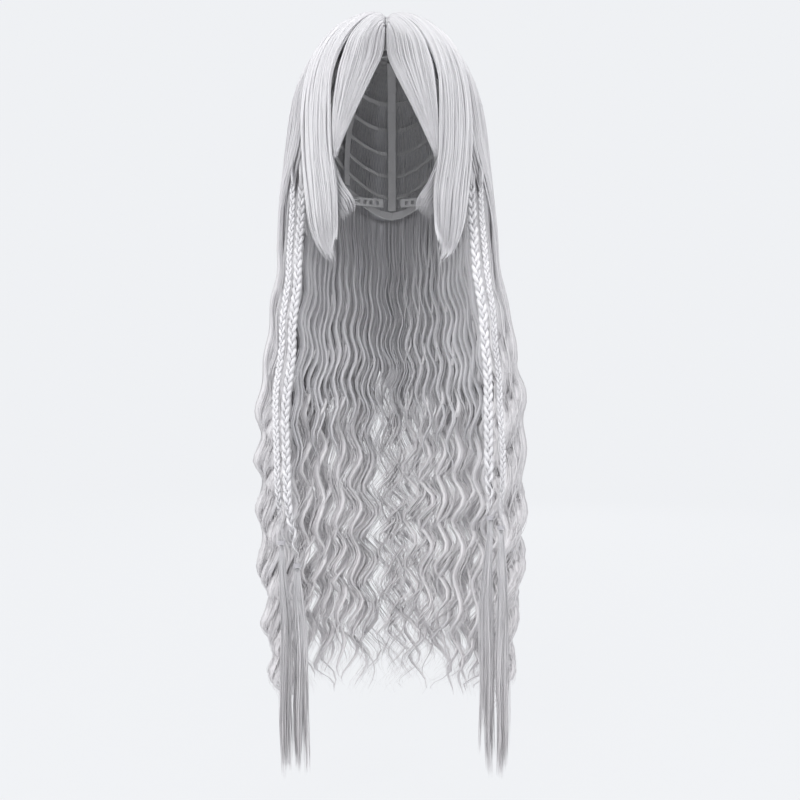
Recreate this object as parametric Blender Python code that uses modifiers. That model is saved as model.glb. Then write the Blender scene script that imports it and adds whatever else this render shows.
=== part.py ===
"""A long silver costume wig, as it hangs when worn: cap, hair sections, braids, ties and straps.

Metres, +Z up, the face looks along -Y, and the wearer's left is +X. The origin is the centre of the
cap's head opening. Azimuth is counted from the face: 0 at the forehead, 180 at the nape. Side is +1
for +X and -1 for -X. Hair hangs in sections that are lofted from outline to outline.
"""

import math

import bmesh
import bpy
from mathutils import Vector

# ---------------------------------------------------------------- driving dimensions
ROUNDNESS = 2.15            # exponent of the rounded head shape; 2 would be an ellipsoid
MIDDLE_Y = 0.004            # y of the vertical line that every azimuth turns about
CAP = (0.080, 0.100, 0.122)              # outside of the net: half-width, half-depth, height
HAIR_INNER = (0.087, 0.107, 0.130)
INNER_FLARE = (0.08, 0.02)  # how fast the inside widens and deepens below the dome
FACE_LEAN = 0.10            # how fast the hair before the face moves forward as it falls
HAIR_OUTER = (0.1155, 0.121, 0.147)
NET_THICKNESS = 0.0010
LAYER_GAP = 0.0014          # between the layers of the cap
TAPE_THICKNESS = 0.0008
WEFT_THICKNESS = 0.0014
GAP = 0.0012                # between neighbouring sections of hair

# Height of the cap's edge, from the forehead (0) past the ear tab (82) to the nape (180).
RIM = [(0, 0.072), (45, 0.054), (68, 0.010), (82, -0.006), (104, 0.008), (135, -0.034), (180, -0.062)]
BAND_HEIGHT = 0.011
BAND_EDGE = 0.001           # from the net's edge to the band's
EAR_TAB = (72, 92, 0.016)   # azimuths of its edges, and how far it hangs below the net
RIB_HALF_WIDTH = 0.004
RIB_GAP = 0.003             # between a rib's end and the band
RIB_TOP_DEG = 17            # polar angle at which the ribs end, short of the ear-to-ear ribbon
RIBBON_HALF_WIDTH = 0.0045
PARTING_HALF_WIDTH = 0.009
WEFT_COUNT = 5
WEFT_HEIGHT = 0.004
WEFT_TOP_Z = 0.108          # height that the rows of wefts count down from
WEFT_SPAN = (96, 264)       # azimuths between which the wefts run

CROWN_START_DEG = 10.0      # polar angle at which the hair leaves the whorl
CROWN_SPLIT_DEG = 122.0     # azimuth between the side crown and the back crown
TEMPLE_DEG = 70.0           # azimuth at which the hair behind the front locks begins
FRINGE_EDGE_DEG = 32.0
CROWN_GAP_DEG = 1.3         # between neighbouring parts of the crown
FRINGE_HINGE_Z = 0.085
LOCK_HINGE_Z = 0.036
BACK_HINGE_Z = -0.112
EDGE_CLEARANCE = 0.0025     # between the crown's lower edge and the sections that swing below it

FRINGE_LIFT_DEG = 25.0
LOCK_LIFT_DEG = 30.0
BACK_SWING_DEG = 20.0
FRINGE_PIVOT = (0.025, -0.086)           # |x| and y
LOCK_PIVOT = (0.073, -0.070)
SIDE_PIVOT = (0.110, 0.030)
BACK_PIVOT = (0.0, 0.078)
FACE_TOP_DROP = 0.020       # from the hinge down to the first level outline of a fringe or lock
BACK_TOP_DROP = 0.032       # the same, for the back hair

HAIR_END_Z = -0.660
SECTION_EDGE_X = 0.064      # plane between the centre and the side sections of the back hair
BACK_THICKNESS = (0.024, 0.012)          # at the nape and at the ends
NAPE_THICKNESS = (0.010, 0.005)
NAPE_END_Z = -0.400
SIDE_START_DEG = 84.0       # azimuth of the front edge of the side sections

# The hair that falls below the dome: half-width, y of its back, and y of its middle, by height.
FALL_WIDTH = [(0.0, 0.1155), (-0.06, 0.1235), (-0.13, 0.127), (-0.20, 0.140), (-0.30, 0.153),
              (-0.45, 0.154), (-0.60, 0.146), (-0.70, 0.128)]
FALL_BACK = [(0.0, 0.126), (-0.06, 0.127), (-0.13, 0.124), (-0.25, 0.116), (-0.45, 0.110),
             (-0.70, 0.104)]
FALL_CENTRE = [(0.0, 0.004), (-0.12, 0.008), (-0.18, 0.020), (-0.30, 0.032), (-0.70, 0.034)]

# Edges of the fringe and of the locks: height, |x| nearer the face, |x| further out.
FRINGE_EDGES = [(0.085, 0.0030, 0.0440), (0.058, 0.0040, 0.0515), (0.031, 0.0170, 0.0540),
                (-0.005, 0.0330, 0.0550), (-0.030, 0.0450, 0.0550), (-0.042, 0.0510, 0.0545)]
LOCK_EDGES = [(0.036, 0.0570, 0.0900), (0.000, 0.0570, 0.0930), (-0.035, 0.0565, 0.0905),
              (-0.070, 0.0500, 0.0870), (-0.105, 0.0500, 0.0835), (-0.132, 0.0530, 0.0740),
              (-0.157, 0.0480, 0.0530)]
UNDER_LOCK_EDGES = [(0.000, 0.0585, 0.0800), (-0.046, 0.0565, 0.0790), (-0.068, 0.0440, 0.0720),
                    (-0.085, 0.0340, 0.0620), (-0.105, 0.0320, 0.0420)]
LOCK_THICKNESS = (0.012, 0.004)
UNDER_LOCK_THICKNESS = (0.006, 0.003)
FRINGE_THICKNESS = (0.008, 0.003)

# Each braid: side, radius, height of its tie, |x| and radius of its tail, and |x| down its length.
BRAIDS = {
    "braid_outer_right": (-1, 0.0034, -0.438, 0.1090, 0.0070,
                          (0.1010, 0.1045, 0.1130, 0.1205, 0.1190, 0.1140)),
    "braid_inner_right": (-1, 0.0046, -0.462, 0.0930, 0.0070,
                          (0.0915, 0.0955, 0.1030, 0.1105, 0.1085, 0.0980)),
    "braid_inner_left": (1, 0.0050, -0.412, 0.1000, 0.0074,
                         (0.0920, 0.0935, 0.0990, 0.1030, 0.1035, 0.1045)),
    "braid_outer_left": (1, 0.0032, -0.422, 0.1180, 0.0056,
                         (0.1020, 0.1045, 0.1100, 0.1150, 0.1185, 0.1165)),
}
BRAID_TOP_Z = -0.072
BRAID_PIVOT_Y = -0.052
BRAID_FRONT_Y = -0.072      # y of the braids where they hang free, in front of the shoulders
NECK_RADIUS = 0.0019        # the bundle where the tie grips it
NECK_REACH = (0.0100, 0.0035, -0.0030)   # heights over the tie: where it narrows, is narrow, and ends
TIE_RADIUS = (0.0024, 0.0040)
TIE_HEIGHT = 0.0050
TAIL_END_Z = -0.688
TAIL_GAP = 0.0016
TAIL_SHAPE = [(0.10, 0.80), (0.30, 1.0), (0.55, 1.0), (0.80, 0.75), (1.0, 0.25)]  # way down, radius share

# Adjusting straps inside the nape: a straight eyelet tape on each side, and a hook that rides along it.
EYELET_COUNT = 4
EYELET_PITCH = 0.008
EYELET_TAPE = (0.040, 0.0012, 0.010)     # length, thickness, height
EYELET_HOLE = (0.0042, 0.0050)
EYELET_CENTRE = (0.030, 0.0775, -0.040)
EYELET_TURN_DEG = -19.0
HOOK_WIRE_RADIUS = 0.0007
HOOK_LENGTH = 0.013
HOOK_HALF_HEIGHT = 0.0032
HOOK_CLEARANCE = 0.0022     # from the tape's middle to the hook's wire
HOOK_TONGUE = (0.55, 0.45, 0.0004)       # its share of the length and of the height, and its dip
STRAP_HEIGHT = 0.0055
STRAP_THICKNESS = 0.0009
STRAP_BULGE = 0.0035
STRAP_ANCHOR = (0.0735, 0.020, -0.014)

HAIR_COLOUR = (0.560, 0.555, 0.590)
SHADE_COLOUR = (0.330, 0.325, 0.350)
BRAID_COLOUR = (0.500, 0.495, 0.530)
NET_COLOUR = (0.640, 0.630, 0.620)
TAPE_COLOUR = (0.560, 0.550, 0.550)
ELASTIC_COLOUR = (0.480, 0.475, 0.500)
STEEL_COLOUR = (0.600, 0.600, 0.620)
RUBBER_COLOUR = (0.620, 0.615, 0.640)


# ---------------------------------------------------------------- shapes of the head and of the fall
def along(keys, at):
    """The value at a height or an azimuth, eased smoothly from key to key."""
    keys = sorted(keys)
    at = min(max(at, keys[0][0]), keys[-1][0])
    for (a, low), (b, high) in zip(keys, keys[1:]):
        if at <= b:
            t = (at - a) / (b - a)
            return low + (high - low) * t * t * (3 - 2 * t)
    return keys[-1][1]


def straight(keys, at):
    """The value at a height, in straight steps from key to key."""
    keys = sorted(keys)
    at = min(max(at, keys[0][0]), keys[-1][0])
    for (a, low), (b, high) in zip(keys, keys[1:]):
        if at <= b:
            return low + (high - low) * (at - a) / (b - a)
    return keys[-1][1]


def rounded(value):
    """A sine or a cosine, bent so that circles become rounded head shapes."""
    return math.copysign(abs(value) ** (2 / ROUNDNESS), value)


def dome_point(dome, azimuth, polar, proud=0.0):
    """A point of a head-shaped dome, standing proud of it by a distance."""
    half_width, half_depth, height = (size + proud for size in dome)
    out, up = rounded(math.sin(math.radians(polar))), rounded(math.cos(math.radians(polar)))
    return around(azimuth, half_width * out, half_depth * out, height * up)


def around(azimuth, half_width, half_depth, height):
    """The point at an azimuth of a level oval about the middle line."""
    if half_width <= 0 or half_depth <= 0:
        return Vector((0, MIDDLE_Y, height))
    turn = math.radians(azimuth)
    radius = 1 / math.hypot(math.sin(turn) / half_width, math.cos(turn) / half_depth)
    return Vector((radius * math.sin(turn), MIDDLE_Y - radius * math.cos(turn), height))


def polar_at(dome, height):
    """The polar angle at which a dome is at a height, also below its widest place."""
    share = max(-1.0, min(1.0, height / dome[2]))
    return math.degrees(math.acos(math.copysign(abs(share) ** (ROUNDNESS / 2), share)))


def rim_height(azimuth):
    turn = abs((azimuth + 180) % 360 - 180)
    return along(RIM, turn)


def fall_outline(height, inset=0.0):
    """Half-width, half-depth and middle y of the hair's outside at a height below the dome."""
    middle = along(FALL_CENTRE, height)
    return along(FALL_WIDTH, height) - inset, along(FALL_BACK, height) - middle - inset, middle


def hair_point(azimuth, station, inner=False):
    """A point of the crown hair: the station is a polar angle up to 90, then 90 plus mm of fall."""
    dome = HAIR_INNER if inner else HAIR_OUTER
    if station <= 90:
        return dome_point(dome, azimuth, station)
    height = -(station - 90) / 1000
    if inner:
        return around(azimuth, dome[0] - height * INNER_FLARE[0], dome[1] - height * INNER_FLARE[1], height)
    return around(azimuth, along(FALL_WIDTH, height), along(FALL_BACK, height) - MIDDLE_Y, height)


def front_y(x, height):
    """The y of the hair's outside over the face, at a distance from the middle."""
    if height > 0:
        out = rounded(math.sin(math.radians(polar_at(HAIR_OUTER, height))))
        width, depth, middle = HAIR_OUTER[0] * out, HAIR_OUTER[1] * out, MIDDLE_Y
    else:
        width, depth = along(FALL_WIDTH, height), HAIR_OUTER[1]
        middle = MIDDLE_Y - FACE_LEAN * height
    return middle - depth * math.sqrt(max(0.0, 1 - (x / width) ** 2))


# ---------------------------------------------------------------- making objects
def start():
    for obj in list(bpy.data.objects):
        bpy.data.objects.remove(obj)
    wig = bpy.data.collections.new("costume_wig")
    cutters = bpy.data.collections.new("cutters")
    cutters.hide_render = True
    bpy.context.scene.collection.children.link(wig)
    bpy.context.scene.collection.children.link(cutters)
    return wig, cutters


def material(name, colour, roughness, metallic=0.0):
    """The named finish, made once."""
    found = bpy.data.materials.get(name)
    if found:
        return found
    made = bpy.data.materials.new(name)
    made.use_nodes = True
    shader = made.node_tree.nodes["Principled BSDF"]
    shader.inputs["Base Color"].default_value = (*colour, 1)
    shader.inputs["Roughness"].default_value = roughness
    shader.inputs["Metallic"].default_value = metallic
    return made


def finish_mesh(name, mesh, collection, finish, origin=(0, 0, 0)):
    """An object of a finished bmesh, with its origin at a pivot and its place in its location."""
    mesh.normal_update()
    bmesh.ops.recalc_face_normals(mesh, faces=mesh.faces)
    bmesh.ops.translate(mesh, verts=mesh.verts, vec=-Vector(origin))
    data = bpy.data.meshes.new(name)
    mesh.to_mesh(data)
    mesh.free()
    data.shade_smooth()
    data.set_sharp_from_angle(angle=math.radians(50))
    obj = bpy.data.objects.new(name, data)
    obj.location = origin
    obj.data.materials.append(finish)
    collection.objects.link(obj)
    return obj


def loft(outlines, closed=False):
    """A closed solid through outlines of equal length; closed joins the last one to the first."""
    mesh = bmesh.new()
    rings = [[mesh.verts.new(point) for point in outline] for outline in outlines]
    pairs = list(zip(rings, rings[1:])) + ([(rings[-1], rings[0])] if closed else [])
    for ring, after in pairs:
        for n, corner in enumerate(ring):
            other = (n + 1) % len(ring)
            mesh.faces.new((corner, ring[other], after[other], after[n]))
    if not closed:
        mesh.faces.new(rings[0])
        mesh.faces.new(list(reversed(rings[-1])))
    return mesh


def steps(first, last, count):
    return [first + (last - first) * n / (count - 1) for n in range(count)]


# ---------------------------------------------------------------- the cap
def make_net(wig):
    """The stretch net: the top of a sphere drawn down to the rim, and thickened inwards."""
    mesh = bmesh.new()
    bmesh.ops.create_uvsphere(mesh, u_segments=40, v_segments=22, radius=1)
    lower = [v for v in mesh.verts if v.co.z < -0.01]
    bmesh.ops.delete(mesh, geom=lower, context="VERTS")
    for vert in mesh.verts:
        azimuth = math.degrees(math.atan2(vert.co.x, -vert.co.y))
        share = math.degrees(math.acos(max(-1, min(1, vert.co.z)))) / 90
        vert.co = dome_point(CAP, azimuth, share * polar_at(CAP, rim_height(azimuth)))
    net = finish_mesh("cap_net", mesh, wig, material("net", NET_COLOUR, 0.85))
    solid = net.modifiers.new("thickness", "SOLIDIFY")
    solid.thickness = NET_THICKNESS
    solid.offset = -1


def tape_on_cap(azimuths, upper, lower, proud, thickness):
    """A tape that runs round the cap between two heights, each a function of the azimuth."""
    outlines = []
    for azimuth in azimuths:
        high, low = polar_at(CAP, upper(azimuth)), polar_at(CAP, lower(azimuth))
        outlines.append([dome_point(CAP, azimuth, high, proud + thickness),
                         dome_point(CAP, azimuth, low, proud + thickness),
                         dome_point(CAP, azimuth, low, proud),
                         dome_point(CAP, azimuth, high, proud)])
    return outlines


def rib_on_cap(centre, half_width, polars, proud, thickness):
    """A tape that runs down the cap along an azimuth, of one width all the way."""
    outlines = []
    for polar in polars:
        radius = CAP[0] * max(0.25, math.sin(math.radians(polar)))
        spread = math.degrees(half_width / radius)
        outlines.append([dome_point(CAP, centre - spread, polar, proud + thickness),
                         dome_point(CAP, centre + spread, polar, proud + thickness),
                         dome_point(CAP, centre + spread, polar, proud),
                         dome_point(CAP, centre - spread, polar, proud)])
    return outlines


def make_cap(wig):
    make_net(wig)
    tape = material("tape", TAPE_COLOUR, 0.75)
    inside = -NET_THICKNESS - LAYER_GAP - TAPE_THICKNESS
    tab_from, tab_to, tab_drop = EAR_TAB

    def rim(azimuth):
        return rim_height(azimuth) + BAND_EDGE

    def band_top(azimuth):
        return rim_height(azimuth) + BAND_HEIGHT

    front = tape_on_cap(steps(-tab_from + 2, tab_from - 2, 15), band_top, rim, inside, TAPE_THICKNESS)
    finish_mesh("front_band", loft(front), wig, tape)
    nape = tape_on_cap(steps(tab_to + 2, 358 - tab_to, 19), band_top, rim, inside, TAPE_THICKNESS)
    finish_mesh("nape_band", loft(nape), wig, tape)
    for side, word in ((1, "left"), (-1, "right")):
        def tab_low(azimuth, side=side):
            share = (abs(azimuth) - tab_from) / (tab_to - tab_from)
            return rim_height(azimuth) - tab_drop * math.sin(math.pi * share) ** 0.6
        azimuths = [side * a for a in steps(tab_from, tab_to, 7)]
        tab = tape_on_cap(azimuths, band_top, tab_low, inside, TAPE_THICKNESS)
        finish_mesh(f"ear_tab_{word}", loft(tab), wig, tape)

    finish_mesh("ear_to_ear_ribbon", loft(list(ear_to_ear(inside))), wig, tape)
    for name, centre in (("rib_left", 140), ("rib_centre", 180), ("rib_right", 220)):
        lowest = polar_at(CAP, rim_height(centre) + BAND_HEIGHT + RIB_GAP)
        rib = rib_on_cap(centre, RIB_HALF_WIDTH, steps(RIB_TOP_DEG, lowest, 9), inside, TAPE_THICKNESS)
        finish_mesh(name, loft(rib), wig, tape)

    finish_mesh("parting_strip", loft(list(parting_strip())), wig, material("skin_strip", NET_COLOUR, 0.6))
    weft_cloth = material("weft", TAPE_COLOUR, 0.8)
    for number in range(1, WEFT_COUNT + 1):
        share = number / (WEFT_COUNT + 1)

        def track(azimuth, share=share):
            turn = abs((azimuth + 180) % 360 - 180)
            low = rim_height(azimuth) + WEFT_HEIGHT
            drop = math.sin(math.radians((turn - 60) / 120 * 90))
            return WEFT_TOP_Z - (WEFT_TOP_Z - low) * share * (0.55 + 0.45 * drop)

        weft = tape_on_cap(steps(*WEFT_SPAN, 17), lambda a, t=track: t(a) + WEFT_HEIGHT, track,
                           LAYER_GAP, WEFT_THICKNESS)
        finish_mesh(f"weft_{number}", loft(weft), wig, weft_cloth)


def ear_to_ear(inside):
    """Sections of the ribbon that runs over the cap from one ear tab to the other."""
    half = RIBBON_HALF_WIDTH
    lowest = polar_at(CAP, rim_height(90) + BAND_HEIGHT + RIB_GAP)
    for polar in steps(-lowest, lowest, 19):
        turn = 90 if polar > 0 else -90
        middle = dome_point(CAP, turn, abs(polar), inside)
        outer = dome_point(CAP, turn, abs(polar), inside + TAPE_THICKNESS)
        if abs(polar) < 0.01:
            middle.x = outer.x = 0.0
        yield [outer + Vector((0, half, 0)), outer - Vector((0, half, 0)),
               middle - Vector((0, half, 0)), middle + Vector((0, half, 0))]


def parting_strip():
    """Sections of the skin-coloured strip under the parting, from the forehead back to the whorl."""
    half = PARTING_HALF_WIDTH
    for polar in steps(polar_at(CAP, rim_height(0) + 0.004), 6, 9):
        section = []
        for x, proud in ((half, LAYER_GAP + TAPE_THICKNESS), (-half, LAYER_GAP + TAPE_THICKNESS),
                         (-half, LAYER_GAP), (half, LAYER_GAP)):
            point = dome_point(CAP, 0, polar, proud)
            section.append(Vector((x, point.y, point.z - x * x / (2 * CAP[0]))))
        yield section


# ---------------------------------------------------------------- the crown
def crown_section(azimuth, low, count):
    """The outline of the crown hair in the upright plane of an azimuth, outside first."""
    outside = [hair_point(azimuth, station) for station in steps(CROWN_START_DEG, low, count)]
    if low <= 90:
        low = polar_at(HAIR_INNER, outside[-1].z)
    inside = [hair_point(azimuth, station, inner=True) for station in steps(low, CROWN_START_DEG, count)]
    return outside + inside


def make_crown(wig):
    """The hair that lies on the cap: over the fringe, over the front locks, at the sides, at the back."""
    hair = material("hair", HAIR_COLOUR, 0.42)
    front_low = polar_at(HAIR_OUTER, FRINGE_HINGE_Z + EDGE_CLEARANCE)
    temple_low = polar_at(HAIR_OUTER, LOCK_HINGE_Z + EDGE_CLEARANCE)
    fall_low = 90 + (-BACK_HINGE_Z - EDGE_CLEARANCE) * 1000
    half_gap = CROWN_GAP_DEG / 2
    parts = [
        ("crown_front", half_gap, FRINGE_EDGE_DEG - half_gap, front_low, 4, 5),
        ("crown_temple", FRINGE_EDGE_DEG + half_gap, TEMPLE_DEG - half_gap, temple_low, 5, 6),
        ("crown_side", TEMPLE_DEG + half_gap, CROWN_SPLIT_DEG - half_gap, fall_low, 6, 11),
    ]
    for side, word in ((1, "left"), (-1, "right")):
        for name, first, last, low, across, down in parts:
            sections = [crown_section(side * azimuth, low, down) for azimuth in steps(first, last, across)]
            finish_mesh(f"{name}_{word}", loft(sections), wig, hair)
    split = CROWN_SPLIT_DEG + half_gap
    back = [crown_section(azimuth, fall_low, 11) for azimuth in steps(split, 360 - split, 13)]
    finish_mesh("crown_back", loft(back), wig, hair)


# ---------------------------------------------------------------- the fringe and the front locks
def face_section(height, side, near, far, thickness, behind=0.0, top=None):
    """An outline of hair over the face: its front between two distances from the middle, then its back."""
    xs = steps(near, far, 5)
    outline = []
    for x in xs:
        outline.append(Vector((side * x, front_y(x, height) + behind, height)))
    for x in reversed(xs):
        outline.append(Vector((side * x, front_y(x, height) + behind + thickness, height)))
    if top:
        hinge_z, pivot_y, angle = top
        for point in outline:
            point.z = hinge_z - max(0.0, pivot_y - point.y) * math.tan(math.radians(angle))
    return outline


def face_piece(edges, side, thickness, behind=0.0, top=None, count=9):
    """Outlines of a fringe or a lock, from its hinge down to its tip."""
    highest, lowest = edges[0][0], edges[-1][0]
    start_z = highest if top is None else highest - FACE_TOP_DROP
    heights = ([highest] if top else []) + steps(start_z, lowest, count)
    outlines = []
    for n, height in enumerate(heights):
        share = (highest - height) / (highest - lowest)
        near = straight([(z, a) for z, a, _ in edges], height)
        far = straight([(z, b) for z, _, b in edges], height)
        deep = thickness[0] + (thickness[1] - thickness[0]) * share
        outlines.append(face_section(height, side, near, far, deep, behind, top if n == 0 else None))
    return outlines


def make_face_hair(wig):
    hair = material("hair", HAIR_COLOUR, 0.42)
    shade = material("hair_shade", SHADE_COLOUR, 0.5)
    fringe_top = (FRINGE_HINGE_Z, FRINGE_PIVOT[1], FRINGE_LIFT_DEG)
    lock_top = (LOCK_HINGE_Z, LOCK_PIVOT[1], LOCK_LIFT_DEG)
    for side, word in ((1, "left"), (-1, "right")):
        fringe = face_piece(FRINGE_EDGES, side, FRINGE_THICKNESS, top=fringe_top)
        finish_mesh(f"fringe_{word}", loft(fringe), wig, hair,
                    origin=(side * FRINGE_PIVOT[0], FRINGE_PIVOT[1], FRINGE_HINGE_Z))
        lock = face_piece(LOCK_EDGES, side, LOCK_THICKNESS, top=lock_top, count=11)
        finish_mesh(f"front_lock_{word}", loft(lock), wig, hair,
                    origin=(side * LOCK_PIVOT[0], LOCK_PIVOT[1], LOCK_HINGE_Z))
        under = face_piece(UNDER_LOCK_EDGES, side, UNDER_LOCK_THICKNESS, behind=LOCK_THICKNESS[0] + GAP)
        finish_mesh(f"under_lock_{word}", loft(under), wig, shade,
                    origin=(side * LOCK_PIVOT[0], LOCK_PIVOT[1], LOCK_HINGE_Z))


# ---------------------------------------------------------------- the back hair
def fall_section(height, inset, thickness, limits, side=1, top=None):
    """An outline of the back hair at a height: its outside between two limits, then its inside.

    A limit is ("x", distance) for a plane that faces sideways, or ("azimuth", degrees).
    """
    outline = []
    for depth_in in (inset, inset + thickness):
        half_width, half_depth, middle = fall_outline(height, depth_in)
        turns = []
        for kind, value in limits:
            turns.append(math.pi - math.asin(value / half_width) if kind == "x" else math.radians(value))
        arc = [Vector((side * half_width * math.sin(t), middle - half_depth * math.cos(t), height))
               for t in steps(turns[0], turns[1], 7)]
        outline += arc if depth_in == inset else arc[::-1]
    if top:
        hinge_z, pivot_y, angle = top
        for point in outline:
            point.z = hinge_z - max(0.0, point.y - pivot_y) * math.tan(math.radians(angle))
    return outline


def fall_piece(inset, thickness, limits, end_z, side, top, count=11):
    outlines = []
    start_z = top[0] - BACK_TOP_DROP
    heights = [top[0]] + steps(start_z, end_z, count)
    for n, height in enumerate(heights):
        share = (top[0] - height) / (top[0] - HAIR_END_Z)
        deep = thickness[0] + (thickness[1] - thickness[0]) * share
        outlines.append(fall_section(height, inset, deep, limits, side, top if n == 0 else None))
    return outlines


def make_back_hair(wig):
    hair = material("hair", HAIR_COLOUR, 0.42)
    shade = material("hair_shade", SHADE_COLOUR, 0.5)
    side_top = (BACK_HINGE_Z, SIDE_PIVOT[1], BACK_SWING_DEG)
    back_top = (BACK_HINGE_Z, BACK_PIVOT[1], BACK_SWING_DEG)
    side_limits = (("azimuth", SIDE_START_DEG), ("x", SECTION_EDGE_X + GAP / 2))
    for side, word in ((1, "left"), (-1, "right")):
        section = fall_piece(0.0, BACK_THICKNESS, side_limits, HAIR_END_Z, side, side_top)
        finish_mesh(f"back_hair_{word}", loft(section), wig, hair,
                    origin=(side * SIDE_PIVOT[0], SIDE_PIVOT[1], BACK_HINGE_Z))
    edge = SECTION_EDGE_X - GAP / 2
    centre = fall_piece(0.0, BACK_THICKNESS, (("x", edge), ("x", -edge)), HAIR_END_Z, 1, back_top)
    finish_mesh("back_hair_centre", loft(centre), wig, hair, origin=(*BACK_PIVOT, BACK_HINGE_Z))
    nape = fall_piece(BACK_THICKNESS[0] + GAP, NAPE_THICKNESS, (("x", edge), ("x", -edge)),
                      NAPE_END_Z, 1, back_top, count=7)
    finish_mesh("nape_hair", loft(nape), wig, shade, origin=(*BACK_PIVOT, BACK_HINGE_Z))


# ---------------------------------------------------------------- braids, ties and tails
def tube(points_and_radii, sides=8):
    """A round closed solid through level rings."""
    outlines = []
    for (x, y, z), radius in points_and_radii:
        outlines.append([Vector((x + radius * math.cos(math.tau * n / sides),
                                 y + radius * math.sin(math.tau * n / sides), z)) for n in range(sides)])
    return outlines


def braid_y(height):
    """The braids start at the temples and lie forward, clear of the shoulders."""
    return along([(BRAID_TOP_Z, BRAID_PIVOT_Y), (-0.20, BRAID_FRONT_Y), (-0.60, BRAID_FRONT_Y)], height)


def braid_x(distances, tie_z, height):
    heights = steps(BRAID_TOP_Z, tie_z, len(distances))
    return along(list(zip(heights, distances)), height)


def make_braids(wig):
    braid_hair = material("braid", BRAID_COLOUR, 0.45)
    rubber = material("rubber", RUBBER_COLOUR, 0.5)
    hair = material("hair", HAIR_COLOUR, 0.42)
    narrows, narrow, neck_end = NECK_REACH
    for name, (side, radius, tie_z, tail_x, tail_radius, distances) in BRAIDS.items():
        pivot = (side * distances[0], BRAID_PIVOT_Y, BRAID_TOP_Z)
        stations = []
        for height in steps(BRAID_TOP_Z, tie_z + narrows, 13):
            thick = radius * (0.75 if height == BRAID_TOP_Z else 1.0)
            stations.append(((side * braid_x(distances, tie_z, height), braid_y(height), height), thick))
        end = (side * distances[-1], BRAID_FRONT_Y)
        stations.append(((*end, tie_z + narrow), NECK_RADIUS))
        stations.append(((*end, tie_z + neck_end), NECK_RADIUS))
        finish_mesh(name, loft(tube(stations)), wig, braid_hair, origin=pivot)

        tie_name = name.replace("braid", "tie")
        profile = [(TIE_RADIUS[0], -1), (TIE_RADIUS[1], -1), (TIE_RADIUS[1], 1), (TIE_RADIUS[0], 1)]
        rings = []
        for turn in steps(0, math.tau * 11 / 12, 12):
            rings.append([Vector((end[0] + r * math.cos(turn), end[1] + r * math.sin(turn),
                                  tie_z + up * TIE_HEIGHT / 2)) for r, up in profile])
        finish_mesh(tie_name, loft(rings, closed=True), wig, rubber, origin=(*end, tie_z))

        tail_top = tie_z + neck_end - TAIL_GAP
        tail = [((*end, tail_top), NECK_RADIUS)]
        drop = tail_top - TAIL_END_Z
        for share, spread in TAIL_SHAPE:
            x = distances[-1] + (tail_x - distances[-1]) * min(1.0, share * 3)
            tail.append(((side * x, BRAID_FRONT_Y, tail_top - drop * share), tail_radius * spread))
        finish_mesh(name.replace("braid", "tail"), loft(tube(tail)), wig, hair, origin=(*end, tail_top))


# ---------------------------------------------------------------- adjusting straps
def eyelet_frame(side):
    """Centre of an eyelet tape, its direction towards the ear, and its direction towards the head."""
    x, y, z = EYELET_CENTRE
    turn = math.radians(EYELET_TURN_DEG)
    outwards = Vector((side * math.cos(turn), math.sin(turn), 0))
    inwards = Vector((side * math.sin(turn), -math.cos(turn), 0))
    return Vector((side * x, y, z)), outwards, inwards


def box_bmesh(centre, outwards, inwards, size):
    """A box from a cube: its length along the tape, its thickness inwards, its height up."""
    mesh = bmesh.new()
    bmesh.ops.create_cube(mesh, size=1)
    for vert in mesh.verts:
        length, thick, high = (vert.co[n] * size[n] for n in range(3))
        vert.co = centre + outwards * length + inwards * thick + Vector((0, 0, high))
    return mesh


def make_straps(wig, cutters):
    tape = material("tape", TAPE_COLOUR, 0.75)
    elastic = material("elastic", ELASTIC_COLOUR, 0.7)
    steel = material("steel", STEEL_COLOUR, 0.3, 1.0)
    for side, word in ((1, "left"), (-1, "right")):
        centre, outwards, inwards = eyelet_frame(side)
        strip = finish_mesh(f"eyelet_strip_{word}", box_bmesh(centre, outwards, inwards, EYELET_TAPE),
                            wig, tape)
        for n in range(EYELET_COUNT):
            place = centre + outwards * ((n - (EYELET_COUNT - 1) / 2) * EYELET_PITCH)
            size = (EYELET_HOLE[0], EYELET_TAPE[1] * 4, EYELET_HOLE[1])
            cutter = finish_mesh(f"eyelet_cutter_{word}_{n}", box_bmesh(place, outwards, inwards, size),
                                 cutters, tape)
            cutter.hide_render = True
            cutter.display_type = "WIRE"
            cut = strip.modifiers.new("eyelet", "BOOLEAN")
            cut.operation = "DIFFERENCE"
            cut.object = cutter
        hook_end = centre + outwards * ((EYELET_COUNT - 1) / 2 * EYELET_PITCH) + inwards * HOOK_CLEARANCE
        make_hook(wig, f"strap_hook_{word}", hook_end, outwards, inwards, steel)

        first = hook_end + outwards * (HOOK_LENGTH + HOOK_WIRE_RADIUS + GAP)
        last = Vector((side * STRAP_ANCHOR[0], STRAP_ANCHOR[1], STRAP_ANCHOR[2]))
        outlines = []
        for share in steps(0, 1, 9):
            bulge = math.sin(math.pi * share) * STRAP_BULGE
            place = first.lerp(last, share) + Vector((side * bulge, bulge, 0))
            ahead = (last - first).normalized()
            across = Vector((ahead.y, -ahead.x, 0)).normalized() * (STRAP_THICKNESS / 2)
            rise = Vector((0, 0, STRAP_HEIGHT / 2))
            outlines.append([place + across + rise, place - across + rise,
                             place - across - rise, place + across - rise])
        finish_mesh(f"strap_{word}", loft(outlines), wig, elastic)


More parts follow.
